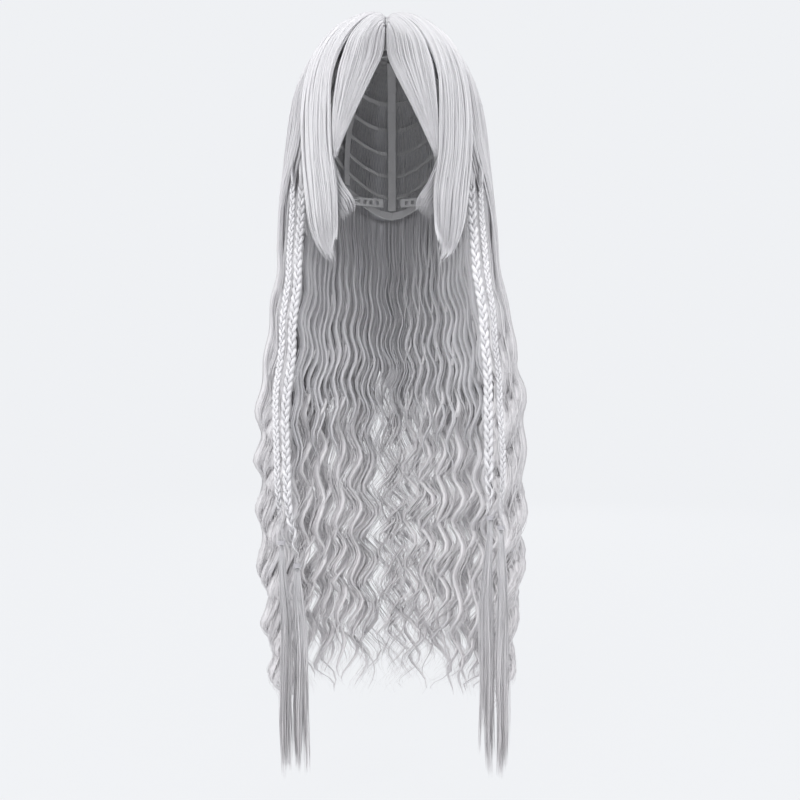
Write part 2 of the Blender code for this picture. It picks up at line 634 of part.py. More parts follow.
def make_hook(wig, name, tip, outwards, inwards, finish):
    """A bent wire hook: a loop that takes the strap, and a tongue that drops into an eyelet."""
    up = Vector((0, 0, HOOK_HALF_HEIGHT))
    reach, height, dip = HOOK_TONGUE
    tongue = Vector((0, 0, HOOK_HALF_HEIGHT * height))
    back = outwards * HOOK_LENGTH
    near = outwards * (HOOK_LENGTH * reach)
    end = tip - inwards * dip
    route = [end + tongue, tip + near + tongue, tip + near + up, tip + back + up,
             tip + back - up, tip + near - up, tip + near - tongue, end - tongue]
    curve = bpy.data.curves.new(name, "CURVE")
    curve.dimensions = "3D"
    curve.bevel_depth = HOOK_WIRE_RADIUS
    curve.bevel_resolution = 1
    curve.use_fill_caps = True
    spline = curve.splines.new("POLY")
    spline.points.add(len(route) - 1)
    for point, place in zip(spline.points, route):
        point.co = (*(place - tip), 1)
    hook = bpy.data.objects.new(name, curve)
    hook.location = tip
    hook.data.materials.append(finish)
    wig.objects.link(hook)


def main():
    wig, cutters = start()
    make_cap(wig)
    make_crown(wig)
    make_face_hair(wig)
    make_back_hair(wig)
    make_braids(wig)
    make_straps(wig, cutters)


main()
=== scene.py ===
"""The looks of a long silver costume wig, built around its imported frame."""

import math
from functools import partialmethod

import bmesh
import bpy
import numpy as np
from bpy.props import FloatProperty, FloatVectorProperty, PointerProperty
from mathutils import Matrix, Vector


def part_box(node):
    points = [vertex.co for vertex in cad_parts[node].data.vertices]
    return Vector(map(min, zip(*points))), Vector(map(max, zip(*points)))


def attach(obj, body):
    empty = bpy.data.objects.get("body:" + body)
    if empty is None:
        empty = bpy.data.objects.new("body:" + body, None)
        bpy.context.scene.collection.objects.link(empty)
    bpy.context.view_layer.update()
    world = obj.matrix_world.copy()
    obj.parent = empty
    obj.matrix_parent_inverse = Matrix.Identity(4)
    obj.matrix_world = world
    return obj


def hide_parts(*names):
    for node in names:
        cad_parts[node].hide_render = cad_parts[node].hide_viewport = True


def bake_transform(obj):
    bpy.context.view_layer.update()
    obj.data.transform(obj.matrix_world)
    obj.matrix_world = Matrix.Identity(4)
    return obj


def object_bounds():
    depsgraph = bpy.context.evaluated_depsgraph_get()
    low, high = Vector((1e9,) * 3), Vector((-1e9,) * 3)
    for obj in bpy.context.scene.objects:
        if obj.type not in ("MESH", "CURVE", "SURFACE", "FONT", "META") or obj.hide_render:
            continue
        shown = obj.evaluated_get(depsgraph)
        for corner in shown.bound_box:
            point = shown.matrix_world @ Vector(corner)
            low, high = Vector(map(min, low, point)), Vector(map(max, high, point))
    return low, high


bl_info = {
    "name": "Costume Wig",
    "version": (1, 0, 0),
    "blender": (4, 5, 0),
    "location": "View3D > Sidebar > Wig",
    "description": "Cap, hair sections, braids, ties and straps of a long costume wig",
    "category": "Add Mesh",
}

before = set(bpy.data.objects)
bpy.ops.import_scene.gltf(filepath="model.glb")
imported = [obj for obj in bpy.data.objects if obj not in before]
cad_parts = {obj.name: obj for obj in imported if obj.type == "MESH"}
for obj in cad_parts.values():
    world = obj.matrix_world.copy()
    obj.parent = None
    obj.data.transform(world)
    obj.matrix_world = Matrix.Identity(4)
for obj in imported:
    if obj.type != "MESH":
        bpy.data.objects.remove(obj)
CAD_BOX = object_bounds()

TURN = 2 * math.pi
SIDES = (("left", 1), ("right", -1))
MIDDLE_Y = 0.004
ROUNDNESS = 2.15
DOME = (0.1155, 0.121, CAD_BOX[1][2] + 0.002)     # hair outside: half-width, half-depth, height
CAP = (0.080, 0.100, 0.122)                      # net outside
RIM = [(0, 0.072), (45, 0.054), (68, 0.010), (82, -0.006), (104, 0.008), (135, -0.034), (180, -0.062)]
LEAN = 0.0045               # how far the head hair sits towards the wearer's right
LEAN_ENDS = (-0.26, -0.06)  # heights between which the lean grows from nothing to all of it
SKIN_THICKNESS = 0.0008
LOCK_STEP = 997             # keeps the strands of one lock from sharing numbers with another's
FALL_WIDTH = [(0.0, 0.1155), (-0.06, 0.1235), (-0.13, 0.127), (-0.20, 0.140), (-0.30, 0.153),
              (-0.45, 0.152), (-0.60, 0.143), (-0.70, 0.122)]
FALL_BACK = [(0.0, 0.126), (-0.06, 0.127), (-0.13, 0.124), (-0.25, 0.116), (-0.45, 0.110),
             (-0.70, 0.104)]
FALL_CENTRE = [(0.0, 0.004), (-0.12, 0.008), (-0.18, 0.020), (-0.30, 0.032), (-0.70, 0.034)]
FRINGE_EDGES = [(0.085, 0.0015, 0.0440), (0.060, 0.0028, 0.0515), (0.031, 0.0165, 0.0545),
                (0.000, 0.0325, 0.0560), (-0.023, 0.0450, 0.0560), (-0.038, 0.0525, 0.0550)]
LOCK_EDGES = [(0.036, 0.0570, 0.0900), (0.000, 0.0570, 0.0930), (-0.035, 0.0565, 0.0905),
              (-0.070, 0.0500, 0.0870), (-0.105, 0.0500, 0.0835), (-0.132, 0.0530, 0.0740),
              (-0.157, 0.0480, 0.0530)]
UNDER_LOCK_EDGES = [(0.000, 0.0585, 0.0800), (-0.035, 0.0555, 0.0790), (-0.065, 0.0440, 0.0720),
                    (-0.085, 0.0290, 0.0620), (-0.105, 0.0310, 0.0420)]
BRAIDS = {
    "braid_outer_right": (-1, 0.0034, (0.1010, 0.1045, 0.1130, 0.1205, 0.1190, 0.1140), 0.0210),
    "braid_inner_right": (-1, 0.0046, (0.0915, 0.0955, 0.1030, 0.1105, 0.1085, 0.0980), 0.0260),
    "braid_inner_left": (1, 0.0050, (0.0920, 0.0935, 0.0990, 0.1030, 0.1035, 0.1045), 0.0280),
    "braid_outer_left": (1, 0.0032, (0.1020, 0.1045, 0.1100, 0.1150, 0.1185, 0.1165), 0.0200),
}
BRAID_START_Z = -0.055      # where the plaits begin
BRAID_TOP_Z = -0.072
BRAID_PIVOT_Y = -0.052
BRAID_FRONT_Y = -0.072
PLAIT_SWING, PLAIT_DEPTH = 0.62, 0.42   # the strands' crossing, as shares of the braid's radius
TAIL_REACH = 1.25           # how far a tail's locks spread, as a share of its solid

# Two points for each section, where it would stop following the cap and where it would follow its own body;
# stands_for is given them but bends nothing.
FRINGE_BEND = ((0, 0, 0.100), (0, 0, 0.078))
LOCK_BEND = ((0, 0, 0.055), (0, 0, 0.020))
BACK_BEND = ((0, 0, -0.085), (0, 0, -0.150))
NAPE_BEND = ((0, 0, -0.085), (0, 0, -0.135))
BRAID_BEND = ((0, 0, -0.058), (0, 0, -0.080))


# ---------------------------------------------------------------- settings
class WigHair(bpy.types.PropertyGroup):
    strand_width: FloatProperty(
        name="Strand Width", description="Width of one modelled strand", default=0.0009, unit="LENGTH")
    wave_length: FloatProperty(
        name="Wave Length", description="Length of one wave of the back hair", default=0.064, unit="LENGTH")
    wave_height: FloatProperty(
        name="Wave Height", description="Sideways swing of a wave", default=0.0088, unit="LENGTH")
    frizz: FloatProperty(
        name="Frizz", description="How far single strands stray", default=0.0030, unit="LENGTH")
    colour: FloatVectorProperty(
        name="Colour", description="Colour of the fibre", default=(0.86, 0.85, 0.868), subtype="COLOR")
    # The darkest fibres' colour is partly the fibres' own tone and partly painted shade between the
    # strands.
    shadow: FloatVectorProperty(
        name="Shadow", description="Colour of the darkest fibres", default=(0.48, 0.475, 0.495),
        subtype="COLOR")


class WigCap(bpy.types.PropertyGroup):
    thread: FloatProperty(
        name="Net Thread", description="Radius of the net's threads", default=0.00034, unit="LENGTH")
    colour: FloatVectorProperty(
        name="Net Colour", description="Colour of the net", default=(0.80, 0.80, 0.80), subtype="COLOR")
    tape: FloatVectorProperty(
        name="Tape Colour", description="Colour of the bands and ribbons", default=(0.74, 0.735, 0.74),
        subtype="COLOR")


class WigStage(bpy.types.PropertyGroup):
    floor_drop: FloatProperty(
        name="Floor Drop", description="Distance from the lowest hair to the floor", default=0.035,
        unit="LENGTH")
    distance: FloatProperty(
        name="Camera Distance", description="From the camera to the middle of the head", default=0.85,
        unit="LENGTH")


# ---------------------------------------------------------------- node graphs
class Socket:
    """A node's output, on which arithmetic adds Math nodes."""

    def __init__(self, graph, socket):
        self.graph, self.socket = graph, socket

    def maths(self, operation, *others):
        values = dict(enumerate((self, *others)))
        return self.graph.node("ShaderNodeMath", {"operation": operation}, values)

    __add__ = __radd__ = partialmethod(maths, "ADD")
    __mul__ = __rmul__ = partialmethod(maths, "MULTIPLY")
    __sub__ = partialmethod(maths, "SUBTRACT")
    __pow__ = partialmethod(maths, "POWER")

    def __rsub__(self, other):
        return (self * -1) + other

    def clamped(self):
        return self.maths("MAXIMUM", 0.0).maths("MINIMUM", 1.0)


class Graph:
    """A node tree with one way to make a node."""

    def __init__(self, tree):
        self.tree = tree

    def node(self, kind, settings=None, sockets=None, output=0):
        made = self.tree.nodes.new(kind)
        for name, value in (settings or {}).items():
            if name == "stops":
                ramp = made.color_ramp.elements
                while len(ramp) < len(value):
                    ramp.new(0.5)
                for element, (place, colour) in zip(ramp, value):
                    element.position, element.color = place, (*colour, 1)
            else:
                setattr(made, name, value)
        for key, value in (sockets or {}).items():
            self.feed(self.pick(made.inputs, key), value)
        return Socket(self, self.pick(made.outputs, output))

    @staticmethod
    def pick(sockets, key):
        if isinstance(key, int):
            return [s for s in sockets if s.enabled][key]
        return next(s for s in sockets if s.enabled and s.name == key)

    def feed(self, socket, value):
        if isinstance(value, Socket):
            self.tree.links.new(value.socket, socket)
        else:
            socket.default_value = value

    def vector(self, operation, *values):
        return self.node("ShaderNodeVectorMath", {"operation": operation}, dict(enumerate(values)))

    def attribute(self, name, kind="FLOAT"):
        return self.node("GeometryNodeInputNamedAttribute", {"data_type": kind}, {"Name": name})

    def joined(self, *values):
        """A vector from up to three numbers."""
        return self.node("ShaderNodeCombineXYZ", {}, dict(enumerate(values)))

    def store(self, geometry, name, value):
        return self.node("GeometryNodeStoreNamedAttribute", {"data_type": "FLOAT", "domain": "POINT"},
                         {"Geometry": geometry, "Name": name, "Value": value})

    def noise(self, where, scale, detail=2.0, output=0, **others):
        return self.node("ShaderNodeTexNoise", {},
                         {"Vector": where, "Scale": scale, "Detail": detail, **others}, output)

    def ring(self, sides, radius):
        return self.node("GeometryNodeCurvePrimitiveCircle", {"mode": "RADIUS"},
                         {"Resolution": sides, "Radius": radius})

    def smooth(self, mesh):
        return self.node("GeometryNodeSetShadeSmooth", {}, {"Geometry": mesh, "Shade Smooth": True})

    def coated(self, mesh, material):
        real = self.node("GeometryNodeRealizeInstances", {}, {0: mesh})
        return self.node("GeometryNodeSetMaterial", {}, {"Geometry": real, "Material": material})


def new_group(name, inputs):
    """A geometry tree with a geometry input and output, and named inputs with their defaults."""
    tree = bpy.data.node_groups.new(name, "GeometryNodeTree")
    face = tree.interface
    face.new_socket("Geometry", in_out="OUTPUT", socket_type="NodeSocketGeometry")
    face.new_socket("Guides", in_out="INPUT", socket_type="NodeSocketGeometry")
    for label, kind, default in inputs:
        made = face.new_socket(label, in_out="INPUT", socket_type=f"NodeSocket{kind}")
        if default is not None:
            made.default_value = default
    graph = Graph(tree)
    entry = tree.nodes.new("NodeGroupInput")
    leave = tree.nodes.new("NodeGroupOutput")
    given = {s.name: Socket(graph, s) for s in entry.outputs if s.name}
    return graph, given, leave


STRAND_INPUTS = [
    ("Strands", "Int", 24), ("Scatter", "Float", 1.0), ("Body", "Float", 0.0),
    ("Width", "Float", 0.0009), ("Wave Length", "Float", 0.056), ("Frizz", "Float", 0.003),
    ("Gather", "Float", 0.5), ("Trim", "Float", 0.1), ("Stray Phase", "Float", 0.5),
    ("Sides", "Int", 3), ("Flat", "Float", 0.5), ("Ridge", "Float", 0.0), ("Seed", "Int", 1),
]


def strand_tree():
    """Turns each guide into strands that follow it, wave with it, and taper to their ends."""
    graph, given, leave = new_group("hair_strands", STRAND_INPUTS)
    curves = graph.node("GeometryNodeMeshToCurve", sockets={"Mesh": given["Guides"]})
    copies = graph.tree.nodes.new("GeometryNodeDuplicateElements")
    copies.domain = "SPLINE"
    graph.feed(copies.inputs["Geometry"], curves)
    graph.feed(copies.inputs["Amount"], given["Strands"])
    hair, number = (Socket(graph, s) for s in copies.outputs)
    strand = graph.attribute("clump", "INT") * LOCK_STEP + number

    def chance(low, high, salt):
        return graph.node("FunctionNodeRandomValue", {"data_type": "FLOAT"},
                          {"Min": low, "Max": high, "ID": strand, "Seed": given["Seed"] + salt})

    down = graph.node("GeometryNodeSplineParameter")
    length = graph.node("GeometryNodeSplineParameter", output="Length")
    spin = chance(0, TURN, 1)
    reach = chance(0, 1, 2) ** 0.5 * given["Scatter"]
    kept = 1 - given["Gather"] * down ** 1.6
    aside = reach * spin.maths("COSINE") * kept
    inward = reach * spin.maths("SINE") * kept
    stray = chance(-0.5, 0.5, 3) * given["Stray Phase"] * given["Scatter"]
    turn = (length * TURN).maths("DIVIDE", given["Wave Length"]) * graph.attribute("pitch")
    turn = turn + graph.attribute("phase") + stray
    place = graph.node("GeometryNodeInputPosition")
    where = graph.vector("ADD", graph.vector("SCALE", place, 9.0),
                         graph.joined(chance(0, 90, 4), chance(0, 90, 5)))
    noise = graph.noise(where, 1.0, 1.0, "Color")
    offset = graph.vector("SCALE", graph.vector("SUBTRACT", noise, (0.5, 0.5, 0.5)),
                          given["Frizz"] * given["Scatter"] * (down * 1.4).clamped())
    for name, amount in (("across", aside), ("deep", inward), ("sway", turn.maths("SINE")),
                         ("roll", turn.maths("COSINE"))):
        step = graph.vector("SCALE", graph.attribute(name, "FLOAT_VECTOR"), amount)
        offset = graph.vector("ADD", offset, step)
    moved = graph.node("GeometryNodeSetPosition", {}, {"Geometry": hair, "Offset": offset})
    cut = graph.node("GeometryNodeTrimCurve", {"mode": "FACTOR"},
                     {"Curve": moved, "End": 1 - chance(0, 1, 6) ** 2 * given["Trim"]})
    named = graph.store(cut, "strand", chance(0, 1, 7))
    named = graph.store(named, "down", down)
    facing = graph.vector("NORMALIZE", graph.attribute("deep", "FLOAT_VECTOR"))
    turned = graph.node("GeometryNodeSetCurveNormal", {"mode": "FREE"}, {"Curve": named, "Normal": facing})
    taper = ((1 - down) * 7).clamped() ** 0.7 * (down * 40 + 0.25).clamped() + 0.03
    bulk = graph.attribute("bulk")
    size = (given["Width"] * chance(0.3, 0.8, 8) + given["Body"] * bulk * kept) * taper
    ring = graph.ring(given["Sides"], 1.0)
    odd = graph.node("GeometryNodeInputIndex").maths("MODULO", 2.0)
    crest = 1 - odd * given["Ridge"]
    point = graph.node("GeometryNodeInputPosition")
    squeezed = graph.vector("MULTIPLY", point, graph.joined(crest, crest * given["Flat"], 0.0))
    ring = graph.node("GeometryNodeSetPosition", {}, {"Geometry": ring, "Position": squeezed})
    edge = graph.node("ShaderNodeSeparateXYZ", {}, {0: graph.node("GeometryNodeInputPosition")})
    ring = graph.store(ring, "edge", edge)
    mesh = graph.node("GeometryNodeCurveToMesh", {},
                      {"Curve": turned, "Profile Curve": ring, "Scale": size, "Fill Caps": True})
    graph.feed(leave.inputs[0], graph.smooth(mesh))
    return graph.tree


def lock_tree():
    """Fine strands round a ridged body, for every guide."""
    strands = tree("hair_strands")
    names = ("Strands", "Width", "Wave Length", "Frizz", "Gather", "Trim", "Stray Phase", "Seed")
    inputs = [row for row in STRAND_INPUTS if row[0] in names]
    inputs += [("Body Share", "Float", 0.7), ("Body Flat", "Float", 0.35), ("Material", "Material", None)]
    graph, given, leave = new_group("hair_lock", inputs)
    shared = {name: given[name] for name in ("Guides", *names)}
    fine = graph.node("GeometryNodeGroup", {"node_tree": strands}, {**shared, "Flat": 0.55})
    body = graph.node("GeometryNodeGroup", {"node_tree": strands},
                      {**shared, "Strands": 1, "Scatter": 0.0, "Trim": 0.12, "Body": given["Body Share"],
                       "Width": 0.0, "Sides": 14, "Ridge": 0.30, "Flat": given["Body Flat"]})
    joined = graph.tree.nodes.new("GeometryNodeJoinGeometry")
    graph.tree.links.new(fine.socket, joined.inputs[0])
    graph.tree.links.new(body.socket, joined.inputs[0])
    graph.feed(leave.inputs[0], graph.coated(Socket(graph, joined.outputs[0]), given["Material"]))
    return graph.tree


def placed(name, data):
    """A new object in the scene."""
    made = bpy.data.objects.new(name, data)
    bpy.context.scene.collection.objects.link(made)
    return made


def grow(name, guides, tree, settings):
    """Runs a tree on guides and returns the plain mesh object that it makes."""
    source = guides.to_object(name + "_guides")
    modifier = source.modifiers.new("hair", "NODES")
    modifier.node_group = tree
    for item in tree.interface.items_tree:
        if item.in_out == "INPUT" and item.name in settings:
            modifier[item.identifier] = settings[item.name]
    graph = bpy.context.evaluated_depsgraph_get()
    mesh = bpy.data.meshes.new_from_object(source.evaluated_get(graph))
    source.modifiers.remove(modifier)
    bpy.data.objects.remove(source)
    if not mesh.polygons:
        raise RuntimeError(f"{name}: the node tree made no faces")
    mesh.name = name
    for leftover in (*guides.vectors, *guides.numbers):
        if leftover in mesh.attributes:
            mesh.attributes.remove(mesh.attributes[leftover])
    mesh.materials.clear()
    mesh.materials.append(settings["Material"])
    mesh.polygons.foreach_set("material_index", np.zeros(len(mesh.polygons), np.int32))
    return placed(name, mesh)


# ---------------------------------------------------------------- shapes
def soft(share):
    """A share from 0 to 1 that starts and ends gently."""
    return share * share * (3 - 2 * share)


def eased(keys, at):
    """The value at a place between keys, levelling out at each of them."""
    keys = sorted(keys)
    at = min(max(at, keys[0][0]), keys[-1][0])
    for (a, low), (b, high) in zip(keys, keys[1:]):
        if at <= b:
            return low + (high - low) * soft((at - a) / (b - a))
    return keys[-1][1]


def rim_height(degrees):
    """Height of the cap's edge, at a number of degrees round from the face."""
    return eased(RIM, abs((degrees + 180) % 360 - 180))


def dome_height(x, y):
    """Height of the hair's outside over a point of the plan."""
    share = math.hypot(x / DOME[0], (y - MIDDLE_Y) / DOME[1])
    return DOME[2] * max(0.0, 1 - share ** ROUNDNESS) ** (1 / ROUNDNESS)


def fall_point(turn, height):
    """A point on the outside of the falling hair, at a turn from the face."""
    middle = eased(FALL_CENTRE, height)
    depth = eased(FALL_BACK, height) - middle
    return (math.sin(turn) * eased(FALL_WIDTH, height), middle - math.cos(turn) * depth, height)


def front_y(x, height):
    """The y of the hair's outside over the face."""
    if height > 0:
        out = max(0.05, 1 - (height / DOME[2]) ** ROUNDNESS) ** (1 / ROUNDNESS)
        width, depth, middle = DOME[0] * out, DOME[1] * out, MIDDLE_Y
    else:
        width, depth, middle = eased(FALL_WIDTH, height), DOME[1], MIDDLE_Y - 0.10 * height
    return middle - depth * math.sqrt(max(0.0, 1 - (x / width) ** 2))


def over_the_head(start_y, end, side, root_dip=0.007):
    """A path on the outside of the hair, from the parting to a point lower down."""
    first = np.array((side * 0.0012, start_y))
    path = []
    for share in np.linspace(0, 1, 70):
        x, y = first + (np.array(end[:2]) - first) * share
        dip = root_dip * max(0.0, 1 - share / 0.10) ** 2
        path.append((x, y, max(end[2], dome_height(x, y)) - dip))
    path[-1] = tuple(end)
    return path


def respaced(path, count, wavy=1.0):
    """Points along a path, even in step, or wavy times closer below the ears."""
    path = np.asarray(path, float)
    step = np.linalg.norm(np.diff(path, axis=0), axis=1)
    weight = step * np.interp(-(path[1:, 2] + path[:-1, 2]) / 2, [0.05, 0.12], [1.0, wavy])
    run = np.r_[0, np.cumsum(weight)]
    at = np.linspace(0, run[-1], count)
    return np.stack([np.interp(at, run, path[:, k]) for k in range(3)], axis=1)


def smoothed(points, rounds):
    points = points.copy()
    for _ in range(rounds):
        points[1:-1] = (points[:-2] + 2 * points[1:-1] + points[2:]) / 4
    return points


def leaned(points):
    """The points moved by the lean, all of it at the head and none of it lower down."""
    low, high = LEAN_ENDS
    share = soft(np.clip((points[:, 2] - low) / (high - low), 0, 1))
    return points - np.stack([LEAN * share, share * 0, share * 0], axis=1)


def unit(vectors):
    return vectors / np.maximum(np.linalg.norm(vectors, axis=1, keepdims=True), 1e-9)


def outward(points):
    """Directions out of the hair at points of it."""
    return unit(np.stack([points[:, 0] / DOME[0] ** 2, (points[:, 1] - MIDDLE_Y) / DOME[1] ** 2,
                          np.maximum(points[:, 2], 0) / DOME[2] ** 2], axis=1))


def set_in(points, distance):
    """The points moved towards the head, by one distance or one for each."""
    return points - outward(points) * np.broadcast_to(distance, len(points))[:, None]


def taper(count, keys):
    """Numbers along a lock, from (share of the way, value) keys."""
    return np.interp(np.linspace(0, 1, count), [k[0] for k in keys], [k[1] for k in keys])


def store_values(mesh, name, kind, values):
    """A new attribute on a mesh's points."""
    field = "vector" if kind == "FLOAT_VECTOR" else "value"
    store = np.int32 if kind == "INT" else np.float32
    mesh.attributes.new(name, kind, "POINT").data.foreach_set(field, values.astype(store).ravel())


class Guides:
    """Paths for locks of hair, with the width, depth and wave that the strands take from them."""

    def __init__(self):
        self.paths = []
        self.vectors = {name: [] for name in ("across", "deep", "sway", "roll")}
        self.numbers = {name: [] for name in ("phase", "pitch", "clump", "bulk")}

    def add(self, points, width, depth, wave=0.0, phase=0.0, pitch=1.0, normals=None, bulk=None):
        """Width, depth, wave and bulk are half-sizes: one number, or one for each point.

        Width and depth may also be given as the keys of a taper.
        """
        count = len(points)
        width, depth = (taper(count, size) if isinstance(size, tuple) else size for size in (width, depth))
        bulk = width if bulk is None else bulk
        tangent = unit(np.gradient(points, axis=0))
        normals = outward(points) if normals is None else normals
        across = unit(np.cross(tangent, normals))
        deep = unit(np.cross(across, tangent))
        wave = np.broadcast_to(wave, count)[:, None]
        self.vectors["across"].append(across * np.broadcast_to(width, count)[:, None])
        self.vectors["deep"].append(deep * np.broadcast_to(depth, count)[:, None])
        self.vectors["sway"].append(across * wave)
        self.vectors["roll"].append(deep * wave * 0.5)
        for name, value in (("phase", phase), ("pitch", pitch), ("clump", len(self.paths)), ("bulk", bulk)):
            self.numbers[name].append(np.broadcast_to(value, count))
        self.paths.append(leaned(points))

    def to_object(self, name):
        mesh = bpy.data.meshes.new(name)
        edges, first = [], 0
        for path in self.paths:
            edges += [(first + n, first + n + 1) for n in range(len(path) - 1)]
            first += len(path)
        mesh.from_pydata(np.concatenate(self.paths).tolist(), edges, [])
        for key, rows in self.vectors.items():
            store_values(mesh, key, "FLOAT_VECTOR", np.concatenate(rows))
        for key, rows in self.numbers.items():
            store_values(mesh, key, "INT" if key == "clump" else "FLOAT", np.concatenate(rows))
        return placed(name, mesh)


def sheet(name, rows, locks):
    """A thin closed skin of combed hair through rows of points, with streaks for a number of locks."""
    rows = np.asarray(rows, float)
    count, across = rows.shape[:2]
    flat = leaned(rows.reshape(-1, 3))
    points = np.concatenate([flat, flat - outward(flat) * SKIN_THICKNESS])
    second = count * across
    faces = []
    for i in range(count - 1):
        for j in range(across - 1):
            a = i * across + j
            b, c, d = a + 1, a + across + 1, a + across
            faces += [(a, b, c, d), (second + d, second + c, second + b, second + a)]
    rim = list(range(across)) + [i * across + across - 1 for i in range(1, count)]
    rim += [second - 1 - j for j in range(1, across)] + [i * across for i in range(count - 2, 0, -1)]
    faces += [(b, a, second + a, second + b) for a, b in zip(rim, rim[1:] + rim[:1])]
    mesh = bpy.data.meshes.new(name)
    mesh.from_pydata(points.tolist(), [], faces)
    share = np.tile(np.linspace(0, 1, across), count)
    down = np.repeat(np.linspace(0, 1, count), across)
    for key, values in (("edge", share * locks), ("down", down), ("strand", down * 0 + 0.5)):
        store_values(mesh, key, "FLOAT", np.tile(values, 2))
    work = bmesh.new()
    work.from_mesh(mesh)
    bmesh.ops.recalc_face_normals(work, faces=work.faces)
    work.to_mesh(mesh)
    work.free()
    mesh.shade_smooth()
    return placed(name, mesh)


def skin(name, paths, count, inset, locks, material):
    """A sheet whose columns follow paths."""
    insets = inset if isinstance(inset, list) else [inset] * len(paths)
    columns = [set_in(smoothed(respaced(path, count), 5), depth) for path, depth in zip(paths, insets)]
    piece = sheet(name, np.stack(columns, axis=1), locks)
    piece.data.materials.append(finish(material))
    return piece


# ---------------------------------------------------------------- finishes
def principled(name, settings):
    made = bpy.data.materials.new("wig_" + name)
    made.use_nodes = True
    graph = Graph(made.node_tree)
    shader = made.node_tree.nodes["Principled BSDF"]
    for key, value in settings.items():
        shader.inputs[key].default_value = value
    return made, graph, shader


def mixed(graph, amount, first, second):
    first, second = (value if isinstance(value, Socket) else (*value, 1) for value in (first, second))
    return graph.node("ShaderNodeMix", {"data_type": "RGBA"},
                      {"Factor": amount, "A": first, "B": second}, output="Result")


def surfaced(graph, shader, colour, roughness, height, strength, distance):
    """Feeds a shader its colour and roughness, and a bump."""
    bump = graph.node("ShaderNodeBump", {}, {"Strength": strength, "Distance": distance, "Height": height})
    for name, value in (("Base Color", colour), ("Roughness", roughness), ("Normal", bump)):
        graph.feed(shader.inputs[name], value)


def fibre(name, light, darkest_and_shade, lift=0.0, tip=None):
    """Satin fibre: each strand has its own tone, with fine streaks along it; the streaks run from the
    fibre's colour to a darker one that is partly its own tone and partly painted shade between strands.
    """
    made, graph, shader = principled(name, {"Specular IOR Level": 0.36, "Sheen Weight": 0.12,
                                            "Sheen Roughness": 0.4})
    strand, edge, down = (graph.node("ShaderNodeAttribute", {"attribute_name": key}, output="Fac")
                          for key in ("strand", "edge", "down"))
    streak = graph.noise(graph.joined(edge * 9, strand * 60, down * 3), 1.0, 3.0, Roughness=0.6)
    # The tone mixes real strand-to-strand variation with painted shade in the streaks; a negative lift
    # darkens the whole fibre as painted shade.
    tone = (strand * 0.25 + streak * 2.3 - 0.68 + lift).clamped()
    pale = mixed(graph, down, light, tip) if tip else light
    surfaced(graph, shader, mixed(graph, tone, darkest_and_shade, pale), 0.34 + streak * 0.18, streak, 0.5, 0.0004)
    return made


def shade(name, light, darkest_and_shade):
    """The mass of hair under the strands, in its own streaked tone painted darker than the fibre as shade
    in the gaps: fine streaks that run down it.
    """
    made, graph, shader = principled(name, {"Specular IOR Level": 0.3})
    place = graph.node("ShaderNodeTexCoord", output="Object")
    streak = graph.noise(graph.vector("MULTIPLY", place, (1.0, 1.0, 0.04)), 420.0, 3.0)
    surfaced(graph, shader, mixed(graph, streak, darkest_and_shade, light), 0.45 + streak * 0.2, streak, 0.8, 0.0006)
    return made


def cloth(name, colour, pitch, relief, roughness=0.7):
    """A plain weave of warp and weft, on the part's own coordinates."""
    made, graph, shader = principled(name, {"Sheen Weight": 0.2, "Specular IOR Level": 0.3})
    place = graph.node("ShaderNodeTexCoord", output="Object")
    split = graph.node("ShaderNodeSeparateXYZ", {}, {0: place})
    x, y, z = (Socket(graph, s) for s in split.socket.node.outputs)
    warp = ((x + y) * (TURN / pitch)).maths("SINE")
    weft = (z * (TURN / pitch)).maths("SINE")
    weave = warp * weft * 0.5 + 0.5
    fleck = graph.noise(place, 900.0)
    tone = (weave * 0.5 + fleck * 0.6).clamped()
    darker = [c * 0.72 for c in colour]
    surfaced(graph, shader, mixed(graph, tone, darker, colour), roughness + fleck * 0.15,
             weave + fleck * 0.3, 0.7, relief)
    return made


def metal(name, colour):
    """Bright metal with faint marks."""
    made, graph, shader = principled(name, {"Metallic": 1.0})
    mark = graph.noise(graph.node("ShaderNodeTexCoord", output="Object"), 600.0, 3.0)
    worn = [c * 0.8 for c in colour]
    surfaced(graph, shader, mixed(graph, mark, worn, colour), 0.16 + mark * 0.2, mark, 0.15, 0.0001)
    return made


def finish(name):
    """One of the wig's own materials, made when it is first wanted."""
    if "wig_" + name in bpy.data.materials:
        return bpy.data.materials["wig_" + name]
    hair, cap = bpy.context.scene.wig_hair, bpy.context.scene.wig_cap
    makers = {
        "hair": (fibre, hair.colour, hair.shadow),
        "hair_long": (fibre, hair.colour, hair.shadow, 0.06, (0.84, 0.815, 0.825)),
        # The fibre darkened by painted shade, for inner layers that lie in shadow.
        "hair_shade": (fibre, hair.colour, hair.shadow, -0.25),
        # The fibre darkened by painted shade, for the skins under the back strands.
        "hair_under": (fibre, hair.colour, hair.shadow, -0.22),
        "braid": (fibre, hair.colour, hair.shadow, 0.05),
        # The hair mass under the strands, in its own streaked tone darkened as painted shade for the gaps.
        "hair_mass": (shade, (0.74, 0.735, 0.76), (0.50, 0.50, 0.53)),
        "net": (cloth, cap.colour, 0.0004, 0.0001),
        "tape": (cloth, cap.tape, 0.0011, 0.0002),
        "weft": (cloth, cap.tape, 0.0008, 0.0002),
        "elastic": (cloth, cap.tape, 0.0009, 0.0003),
        "steel": (metal, (0.70, 0.70, 0.71)),
        "rubber": (cloth, (0.50, 0.49, 0.52), 0.0006, 0.0001, 0.45),
    }
    maker, *settings = makers[name]
    return maker(name, *settings)


def tree(name):
    """A shared node tree, made when it is first wanted."""
    makers = {"hair_strands": strand_tree, "hair_lock": lock_tree, "threads": thread_tree}
    return bpy.data.node_groups.get(name) or makers[name]()


